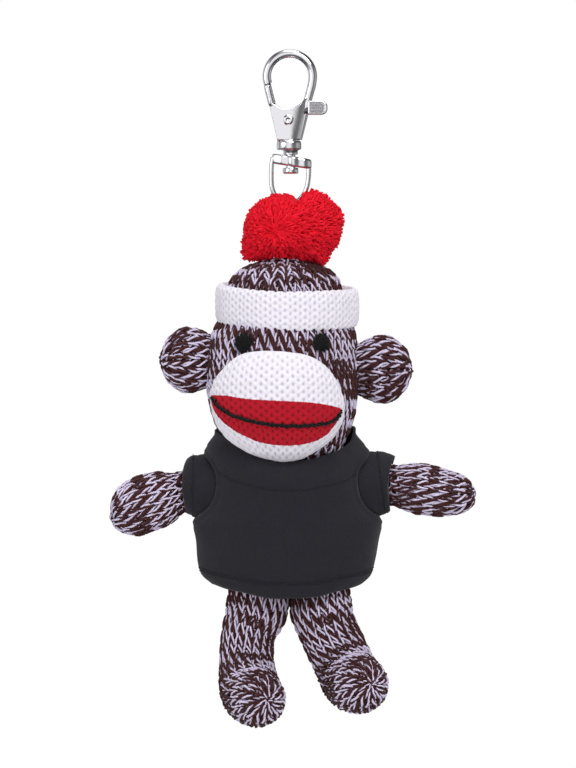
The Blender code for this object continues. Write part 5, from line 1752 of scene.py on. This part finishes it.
SEWN = strand_template("sewn", 0.001, 0.00013, 5, 5, 1, 0.0, 0.0, 0.25)
turns = np.linspace(0, 2 * math.pi, 241)
sewing = []
for over in (0.0034, 0.0041):
    sewing += stitch_line([shirt_place(t, hem_edge(t) + over, 0.00006) for t in turns], 0.00105)
sewing += stitch_line([shirt_place(t, from_table(COLLAR_SEAM, t) - 0.0008, 0.00006) for t in turns], 0.00105)
clear = [
    s for s in sewing
    if all(math.dist(s[0], (x, 0, z)) > ARMHOLE + 0.0008 for x, z in SHOULDERS.values())
]
sewn_mesh = grown(
    "shirt_sewing", tuft_cloud("sewing_cloud", clear), TUFTS, {"Strand": SEWN, "Material": THREAD}
)
shirt_cloth = thickened("shirt_body_cloth", shirt_grid(), SHIRT_THICKNESS)
shirt_piece = put_in(bpy.data.objects.new("shirt_body_cloth", shirt_cloth), "torso")
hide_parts("shirt_body")
shirt_threads = put_in(bpy.data.objects.new("shirt_threads", sewn_mesh), "torso")
print("shirt:", len(shirt_cloth.polygons), "faces,", len(clear), "sewn stitches")

# %% [markdown]
# ## The sleeves
# A sleeve is a short tube that starts inside the armhole and ends in a turned cuff. It rides on the arm, so
# it turns in the armhole with it. Its inner part stays inside the ball on which the armhole's edge lies,
# whatever the folds do, so it never comes through the shirt.

# %% Sew the sleeves
SHOULDER_BALL = 0.0083
SLEEVE_STATIONS = {
    "left": [
        (0.88, 0.79, 0.04), (0.77, 0.86, 0.05), (0.58, 0.93, 0.06), (0.36, 0.97, 0.04), (0.0, 1.0, 0.0),
        (-0.42, 0.9075, 0.0), (-0.72, 0.694, 0.0),
    ],
    "right": [
        (0.87, 0.79, 0.15), (0.80, 0.87, 0.16), (0.62, 0.945, 0.15), (0.34, 0.98, 0.10), (0.0, 1.0, 0.01),
        (-0.42, 0.9075, 0.0), (-0.72, 0.694, 0.0),
    ],
}
CUFF_TILT = {"left": 0.12, "right": 0.07}
SLEEVE_SIDES = 96
SLEEVE_ROWS = 44


def sleeve_tube(side):
    """The tube through (outwards, radius, up) stations, all in shares of the shoulder's ball."""
    x, z = SHOULDERS[side]
    sign = -1 if side == "left" else 1
    stations = [
        ((x + sign * out * SHOULDER_BALL, 0, z + up * SHOULDER_BALL), size * SHOULDER_BALL,
        size * SHOULDER_BALL)
        for out, size, up in SLEEVE_STATIONS[side]
    ]
    return Tube(stations, (0, 1, 0)), sign


def sleeve_mesh(side):
    tube, sign = sleeve_tube(side)
    points, across, along, faces = [], [], [], []
    for i in range(SLEEVE_ROWS + 1):
        v = tube.length * i / SLEEVE_ROWS
        middle = tube.axis(v)
        for j in range(SLEEVE_SIDES):
            u = j / SLEEVE_SIDES
            p = tube.form(u, v)
            away = (p - middle) / np.linalg.norm(p - middle)
            cuff = v
            lift = -0.00016 * bell((cuff - 0.0029) / 0.0003) + 0.00012 * bell((cuff - 0.0014) / 0.0011)
            lift -= 0.00025 * max(1 - cuff / 0.0007, 0) ** 2
            fold = math.sin(u * 2 * math.pi * 4 + 0.7 * sign + cuff * 300) * bell((cuff - 0.0058) / 0.0028)
            lift += 0.00022 * fold - 0.0001
            shift = 0.00045 * math.sin(u * 2 * math.pi * 2 + sign) * max(1 - cuff / 0.004, 0)
            slant = CUFF_TILT[side] * (middle[2] - p[2]) * max(1 - cuff / 0.006, 0)
            points.append(p + away * lift + np.array((sign * (slant - shift), 0, 0)))
            across.append(u * 2 * math.pi * 7.2)
            along.append(v * 1000)
    for i in range(SLEEVE_ROWS):
        for j in range(SLEEVE_SIDES):
            a, b = i * SLEEVE_SIDES + j, i * SLEEVE_SIDES + (j + 1) % SLEEVE_SIDES
            faces.append((a, b, b + SLEEVE_SIDES, a + SLEEVE_SIDES))
    mesh = mesh_from(side + "_sleeve_grid", points, faces, {"across": across, "along": along})
    mesh.materials.append(JERSEY)
    mesh.shade_smooth()
    return mesh, tube


for side in ("left", "right"):
    sleeve_grid, tube = sleeve_mesh(side)
    cloth = thickened(side + "_sleeve_cloth", sleeve_grid, SHIRT_THICKNESS)
    sleeve = put_in(bpy.data.objects.new(side + "_sleeve_cloth", cloth), side + "_arm")
    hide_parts(side + "_sleeve")
    ring = []
    for u in np.linspace(0, 1, 73):
        p, middle = tube.form(u, 0.0026), tube.axis(0.0026)
        ring.append(p + (p - middle) / np.linalg.norm(p - middle) * 0.00002)
    threads = grown(side + "_cuff_sewing", tuft_cloud(
        side + "_cuff_cloud", stitch_line(ring, 0.00105)
    ), TUFTS, {
        "Strand": SEWN, "Material": THREAD,
    })
    cuff_threads = put_in(bpy.data.objects.new(side + "_cuff_threads", threads), side + "_arm")
    print(side, "sleeve:", len(cloth.polygons), "faces")

# %% [markdown]
# ## Bright nickel
# The clasp is zinc, cast in a mould, tumbled and plated with bright nickel. It mirrors the room, so its
# look comes from the grey cards in the world above, and the material adds only what a cheap casting has:
# a slow waviness and small dull spots.
# Two darker copies paint shade: one on the thumb lug's grip, between its dots, and a darkest one in the gaps
# round the gate.

# %% Nickel material
def nickel_material(name, colour, rough, waves):
    paint, sheet = new_material(name)
    where = sheet.node("ShaderNodeTexCoord", out="Object")
    slow = sheet.noise(420.0, 2.0, where)
    spots = sheet.noise(2600.0, 3.0, where)
    dull = ((spots - 0.52) * 1.2).clipped() * 0.35 + rough + slow * 0.05
    tone = sheet.mixed((spots * 0.5 + slow * 0.5), tuple(0.93 * c for c in colour), colour)
    bump = sheet.node(
        "ShaderNodeBump", values={"Strength": waves, "Distance": 0.00012, "Height": slow + spots * 0.12}
    )
    skin = sheet.node(
        "ShaderNodeBsdfPrincipled",
        values={"Base Color": tone, "Metallic": 1.0, "Roughness": dull, "Normal": bump},
    )
    sheet.finish("ShaderNodeOutputMaterial", skin)
    return paint


NICKEL = nickel_material("bright_nickel", (0.86, 0.85, 0.87), 0.09, 0.35)
# The grip's nickel is rougher, which is real, and darker, which paints the shade between its dots.
NICKEL_GRIP_SHADE = nickel_material("nickel_grip", (0.48, 0.47, 0.49), 0.42, 0.6)
NICKEL_WIRE = nickel_material("nickel_wire", (0.86, 0.85, 0.87), 0.12, 0.2)
# The darkest nickel paints shade: the lever where it shows beside the plate, and a pin in the gap at the
# bow's tip.
NICKEL_SHADE = nickel_material("nickel_dark", (0.16, 0.14, 0.15), 0.35, 0.4)
print("nickel ready")

# %% [markdown]
# ## The hook's body
# One casting: a round bow whose right leg runs down the edge of a flat plate as a rib, the plate itself, a
# collar and a short neck. The bow is a tube along a path, the plate is a grid between its upper and lower
# edges with rounded borders and a right side that curves back, and the collar is turned.

# %% Cast the hook's body
BOW_CENTRE = (0.0002, -0.0047)
BOW_RADIUS = 0.00575
BOW_WIRE = 0.00108
PLATE_HALF = 0.0020
PLATE_ROUND = 0.00038
PLATE_UPPER = [
    (-0.00482, -0.01235), (-0.00440, -0.01190), (-0.00350, -0.01172), (-0.00266, -0.01214),
    (-0.00166, -0.01261),
    (-0.00034, -0.01280), (0.00071, -0.01261), (0.00189, -0.01214), (0.00308, -0.01130), (0.00400, -0.01010),
    (0.00485, -0.00960),
]
PLATE_LOWER = ((-0.00292, -0.02080), (0.00272, -0.02070))
CURVE_START = 0.52
CURVE_DROP = 0.0012


def smooth_tube(name, path, radii, first, sides, paint, steps=6):
    """A closed round tube along a path, with a radius for each point."""
    tube = Tube([(p, r, r) for p, r in zip(path, radii)], first, steps)
    return skin_mesh(name, tube.form, tube.length, sides, len(path) * steps, 0.0, tube.axis, paint)


def turned_part(name, profile, centre, sides, paint, squash=1.0):
    """A part from a lathe: (radius, z) pairs from the lower end to the upper one."""
    points, faces = [], []
    for radius, z in profile:
        for j in range(sides):
            a = 2 * math.pi * j / sides
            points.append((centre[0] + radius * math.cos(a), centre[1] + radius * squash * math.sin(a), z))
    for i in range(len(profile) - 1):
        for j in range(sides):
            a, b = i * sides + j, i * sides + (j + 1) % sides
            faces.append((a, b, b + sides, a + sides))
    faces.append(tuple(range(sides))[::-1])
    faces.append(tuple((len(profile) - 1) * sides + j for j in range(sides)))
    mesh = mesh_from(name, points, faces)
    mesh.materials.append(paint)
    mesh.shade_smooth()
    mesh.set_sharp_from_angle(angle=math.radians(48))
    return mesh


def plate_depth(s, to_edge):
    """Half the plate's thickness: rounded borders, and a face that curves back on the right."""
    inner = max(PLATE_ROUND - to_edge, 0)
    depth = PLATE_HALF - PLATE_ROUND + math.sqrt(max(PLATE_ROUND ** 2 - inner ** 2, 0))
    return depth - CURVE_DROP * (max(s - CURVE_START, 0) / (1 - CURVE_START)) ** 2


def plate_mesh():
    upper = smooth_path([(*p, 0) for p in PLATE_UPPER], 6)[:, :2]
    across = len(upper)
    shares = [0.5 - 0.5 * math.cos(math.pi * k / 30) for k in range(31)]
    front, back = [], []
    for j, t in enumerate(shares):
        for i in range(across):
            s = i / (across - 1)
            low = np.array(PLATE_LOWER[0]) * (1 - s) + np.array(PLATE_LOWER[1]) * s
            x, z = upper[i] * (1 - t) + low * t
            run = np.linalg.norm(upper[i] - low)
            edge = min(t * run, (1 - t) * run, i * 0.00016)
            depth = plate_depth(s, edge)
            front.append((x, -depth, z))
            back.append((x, depth, z))
    rows = len(shares)
    size = rows * across
    faces = []
    for j in range(rows - 1):
        for i in range(across - 1):
            a = j * across + i
            faces.append((a, a + across, a + across + 1, a + 1))
            faces.append((size + a, size + a + 1, size + a + across + 1, size + a + across))
    rim = list(range(across)) + [j * across + across - 1 for j in range(1, rows)]
    rim += [
        (rows - 1) * across + i for i in range(across - 2, -1, -1)
    ] + [j * across for j in range(rows - 2, 0, -1)]
    for a, b in zip(rim, rim[1:] + rim[:1]):
        faces.append((a, b, size + b, size + a))
    mesh = mesh_from("hook_plate", front + back, faces)
    mesh.materials.append(NICKEL)
    mesh.shade_smooth()
    mesh.set_sharp_from_angle(angle=math.radians(40))
    return mesh


bow_path, bow_radii = [], []
for degrees in np.linspace(198, -8, 27):
    a = math.radians(degrees)
    bow_path.append((BOW_CENTRE[0] + BOW_RADIUS * math.cos(a), 0, BOW_CENTRE[1] + BOW_RADIUS * math.sin(a)))
    bow_radii.append(BOW_WIRE)
for x, z, radius in (
    (0.00571, -0.0068, 0.00108), (0.00530, -0.0084, 0.00106), (0.00487, -0.0100, 0.00102),
    (0.00452, -0.0119, 0.00092),
    (0.00412, -0.0137, 0.00084), (0.00356, -0.0163, 0.00076), (0.00302, -0.0187, 0.00070),
    (0.00262, -0.0205, 0.00066),
):
    bow_path.append((x, 0, z))
    bow_radii.append(radius)
bow_mesh = smooth_tube("hook_bow", bow_path, bow_radii, (0, 1, 0), 28, NICKEL, 4)
bow_mesh.set_sharp_from_angle(angle=math.radians(50))
collar_mesh = turned_part("hook_collar", [
    (0.0027, -0.02310), (0.00295, -0.02300), (0.00308, -0.02270), (0.00308, -0.02140), (0.00300, -0.02105),
    (0.00285, -0.02085), (0.0026, -0.02080),
], (0, 0), 48, NICKEL, 0.86)
neck_mesh = turned_part("hook_neck", [
    (0.0016, -0.02430), (0.00180, -0.02418), (0.00180, -0.02340), (0.0021, -0.02312), (0.0021, -0.0229),
], (HANG_X, 0), 32, NICKEL)
hook_shell = joined("hook_shell", [bow_mesh, plate_mesh(), collar_mesh, neck_mesh], "clasp")
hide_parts("hook_body")
print("hook:", len(hook_shell.data.polygons), "faces")

# %% [markdown]
# ## The gate, its rivet and its spring
# The gate is a round bar that closes the bow. Behind the plate it is one lever with the thumb lug, whose
# face has a raised dotted grip. The rivet's ends are hammered, so they are a little uneven.

# %% Make the gate and the small parts
GATE_LINE = [
    (-0.00540, -0.00682, 0.00062), (-0.00538, -0.00694, 0.00088), (-0.00520, -0.00780, 0.00096),
    (-0.00470, -0.00985, 0.00096), (-0.00430, -0.01145, 0.00094), (-0.00422, -0.01172, 0.00080),
]
LINK_LINE = [
    (-0.00430, -0.01150, 0.0008), (-0.0030, -0.0138, 0.0010), (-0.0002, -0.0156, 0.0012),
    (0.0030, -0.0138, 0.0011), (0.0056, -0.0127, 0.0011)
]
LUG_LOW = (0.0047, -0.01435)
LUG_HIGH = (0.00965, -0.01080)
LUG_HALF = 0.0015
LUG_ROUND = 0.00035
PIVOT = (-0.0002, -0.0156)


def lug_mesh():
    """A rounded block: a box whose outer corners are round in front view, with soft borders."""
    points, faces = [], []
    radius = (LUG_HIGH[1] - LUG_LOW[1]) / 2 * 0.92
    outline = []
    for corner_x, corner_z, start in (
        (LUG_HIGH[0] - radius, LUG_HIGH[1] - radius, 90), (LUG_HIGH[0] - radius, LUG_LOW[1] + radius, 0),
        (LUG_LOW[0] + 0.0004, LUG_LOW[1] + 0.0004, -90), (LUG_LOW[0] + 0.0004, LUG_HIGH[1] - 0.0004, 180),
    ):
        size = radius if corner_x > 0.006 else 0.0004
        for k in range(9):
            a = math.radians(start - 90 * k / 8)
            outline.append((corner_x + size * math.cos(a), corner_z + size * math.sin(a)))
    middle = np.mean(outline, axis=0)
    section = [(0.0, -LUG_HALF * 0.98), (0.75, -LUG_HALF), (0.88, -LUG_HALF)]
    section += [
        (0.88 + 0.12 * math.sin(a), -LUG_HALF + LUG_ROUND * (1 - math.cos(a))) for a in np.linspace(0.35,
        math.pi / 2, 5)
    ]
    section += [(share, -y) for share, y in reversed(section)]
    count = len(outline)
    for share, y in section:
        for x, z in outline:
            points.append(
                (middle[0] + (x - middle[0]) * max(share, 0.02), y,
                middle[1] + (z - middle[1]) * max(share, 0.02))
            )
    for i in range(len(section) - 1):
        for j in range(count):
            a, b = i * count + j, i * count + (j + 1) % count
            faces.append((a, a + count, b + count, b))
    faces.append(tuple(range(count)))
    faces.append(tuple((len(section) - 1) * count + j for j in range(count))[::-1])
    mesh = mesh_from("lug_block", points, faces)
    mesh.materials.append(NICKEL)
    mesh.shade_smooth()
    mesh.set_sharp_from_angle(angle=math.radians(40))
    return mesh


grip = []
for i in range(10):
    for j in range(8):
        for face in (-1, 1):
            x = LUG_LOW[0] + 0.00055 + 0.00037 * i + 0.00018 * (j % 2)
            z = LUG_LOW[1] + 0.00046 + 0.00038 * j
            grip.append(((x, face * (LUG_HALF - 0.00005), z), (0, face, 0), (1, 1, 1), 0.4 * i))
BUMP = strand_template("grip_bump", 0.00026, 0.00015, 6, 4, 1, 0.0, 0.0, 0.85)
grip_mesh = grown(
    "lug_grip", tuft_cloud("grip_cloud", grip), TUFTS, {"Strand": BUMP, "Material": NICKEL_GRIP_SHADE}
)
gate_bar = smooth_tube(
    "gate_bar", [(x, 0, z) for x, z, _ in GATE_LINE], [r for _, _, r in GATE_LINE], (0, 1, 0), 24, NICKEL
)
gate_bar.set_sharp_from_angle(angle=math.radians(50))
# The lever behind the plate is the darkest nickel: painted shade where it shows beside the plate.
gate_link = smooth_tube(
    "gate_link", [(x, 0, z) for x, z, _ in LINK_LINE], [r for _, _, r in LINK_LINE], (0, 1, 0), 20,
    NICKEL_SHADE
)
# A dark pin in the gap between the bow's tip and the gate: painted shade, where the gap lies in shadow.
gate_tongue = smooth_tube(
    "gate_tongue", [(-0.00532, 0, -0.0061), (-0.00534, 0, -0.0066), (-0.00537, 0, -0.0072)],
    [0.0006, 0.00082, 0.0008],
    (0, 1, 0), 16, NICKEL_SHADE,
)
# The grip pad and its dots use the darker grip nickel: painted shade between the dots.
pad_points, pad_faces = [], []
for face in (-1, 1):
    for depth, inset in ((-0.0004, 0.0), (0.00004, 0.0), (0.00007, 0.00006)):
        for x, z in ((LUG_LOW[0] + 0.0004, LUG_LOW[1] + 0.0003), (LUG_HIGH[0] - 0.0016, LUG_LOW[1] + 0.0003),
                     (LUG_HIGH[0] - 0.0010, LUG_LOW[1] + 0.0010),
                     (LUG_HIGH[0] - 0.0010, LUG_HIGH[1] - 0.0010),
                     (LUG_HIGH[0] - 0.0016, LUG_HIGH[1] - 0.0003),
                     (LUG_LOW[0] + 0.0004, LUG_HIGH[1] - 0.0003)):
            shift = inset * (1 if x < 0.007 else -1)
            pad_points.append((x + shift, face * (LUG_HALF + depth), z + inset * (1 if z < -0.0126 else -1)))
for base, turned in ((0, False), (18, True)):
    loops = [
        (base + i * 6 + j, base + i * 6 + (j + 1) % 6, base + i * 6 + 6 + (j + 1) % 6,
        base + i * 6 + 6 + j) for i in range(2) for j in range(6)
    ]
    loops += [tuple(base + j for j in range(6))[::-1], tuple(base + 12 + j for j in range(6))]
    pad_faces += [f[::-1] for f in loops] if turned else loops
pad = mesh_from("grip_pad", pad_points, pad_faces)
pad.materials.append(NICKEL_GRIP_SHADE)
gate_shell = joined("gate_shell", [gate_bar, gate_link, gate_tongue, lug_mesh(), pad, grip_mesh], "gate")
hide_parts("gate_lever")


def rivet_mesh(face):
    """A hammered rivet end, from the plate's face outwards."""
    chance = random.Random(8 + face)
    points, faces = [(PIVOT[0], face * (PLATE_HALF + 0.00030), PIVOT[1])], []
    shares = [0.2, 0.4, 0.6, 0.78, 0.9, 0.97, 1.0, 1.0]
    heights = [0.00036, 0.00050, 0.00054, 0.00046, 0.00034, 0.00018, 0.0, -0.0009]
    for share, height in zip(shares, heights):
        for j in range(28):
            a = 2 * math.pi * j / 28
            wave = 1 + 0.05 * math.sin(3 * a + 1) + 0.04 * math.sin(5 * a)
            lift = height + chance.uniform(-0.00003, 0.00003) * (height > 0)
            points.append((
                PIVOT[0] + 0.00132 * share * wave * math.cos(a), face * (PLATE_HALF + lift),
                PIVOT[1] + 0.00132 * share * wave * math.sin(a),
            ))
    faces += [(0, 1 + j, 1 + (j + 1) % 28) for j in range(28)]
    for i in range(len(shares) - 1):
        for j in range(28):
            a, b = 1 + i * 28 + j, 1 + i * 28 + (j + 1) % 28
            faces.append((a, a + 28, b + 28, b))
    faces.append(tuple(1 + (len(shares) - 1) * 28 + j for j in range(28))[::-1])
    if face > 0:
        faces = [f[::-1] for f in faces]
    mesh = mesh_from("rivet_end", points, faces)
    mesh.materials.append(NICKEL)
    mesh.shade_smooth()
    return mesh


rivet = joined("rivet_ends", [rivet_mesh(-1), rivet_mesh(1)], "clasp")
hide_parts("gate_pivot_pin")
spring_line = [(-0.0022, 0, -0.0135), (-0.0016, 0, -0.0150), (-0.0013, 0, -0.0168), (-0.0012, 0, -0.0185)]
spring = put_in(bpy.data.objects.new("spring_leaf", smooth_tube(
    "spring_leaf", spring_line, [0.0002, 0.00028, 0.00028, 0.0002], (0, 1, 0), 12, NICKEL_WIRE
)), "clasp")
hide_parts("gate_spring")
print("gate:", len(gate_shell.data.polygons), "faces,", len(grip), "grip dots")

# %% [markdown]
# ## The swivel
# A headed stud goes up through a strap into the collar, so the strap and its wire turn under the hook. The
# stud is loose in its hole, so the strap hangs at a slant, as it does in the photograph.

# %% Make the swivel
STRAP_X = 0.00070
STRAP_SLANT = 0.15
STRAP_PROFILE = [
    (0.0040, -0.02718), (0.00462, -0.02708), (0.00488, -0.02680), (0.00495, -0.02640), (0.00495, -0.02540),
    (0.00488, -0.02500), (0.00462, -0.02472), (0.0040, -0.02462),
]


def strap_mesh():
    """A flat band that was hammered over the wire, so its face is wavy; it slopes down to the right."""
    mesh = turned_part("strap", STRAP_PROFILE, (STRAP_X, 0), 144, NICKEL, 0.36)
    for vertex in mesh.vertices:
        vertex.co.y *= 1 + 0.075 * math.sin((vertex.co.x - STRAP_X) * 2 * math.pi / 0.0030 + 0.8)
        vertex.co.z -= STRAP_SLANT * (vertex.co.x - HANG_X)
    return mesh


WIRE_PATH = [
    (-0.00400, -0.02500), (-0.00428, -0.02640), (-0.00440, -0.02860), (-0.00440, -0.03060),
    (-0.00425, -0.03240),
    (-0.00360, -0.03420), (-0.00215, -0.03575), (0.0003, -0.03644), (0.00225, -0.03575), (0.00365, -0.03420),
    (0.00445, -0.03240), (0.00480, -0.03060), (0.00496, -0.02860), (0.00492, -0.02720), (0.00470, -0.02600),
]
swivel_wire = smooth_tube(
    "swivel_wire", [(x, 0, z) for x, z in WIRE_PATH], [0.0006] * len(WIRE_PATH), (0, 1, 0), 20, NICKEL_WIRE
)
swivel_shell = joined("swivel_shell", [strap_mesh(), swivel_wire], "swivel")
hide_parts("swivel_loop")
stud_mesh = turned_part("stud", [
    (0.00165, -0.02905), (0.00188, -0.02892), (0.00196, -0.02865), (0.00196, -0.02790), (0.00184, -0.02758),
    (0.00120, -0.02750), (0.00120, -0.0225),
], (HANG_X, 0), 32, NICKEL)
stud = put_in(bpy.data.objects.new("stud_shell", stud_mesh), "clasp")
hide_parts("swivel_stud")
print("swivel:", len(swivel_shell.data.polygons), "faces")
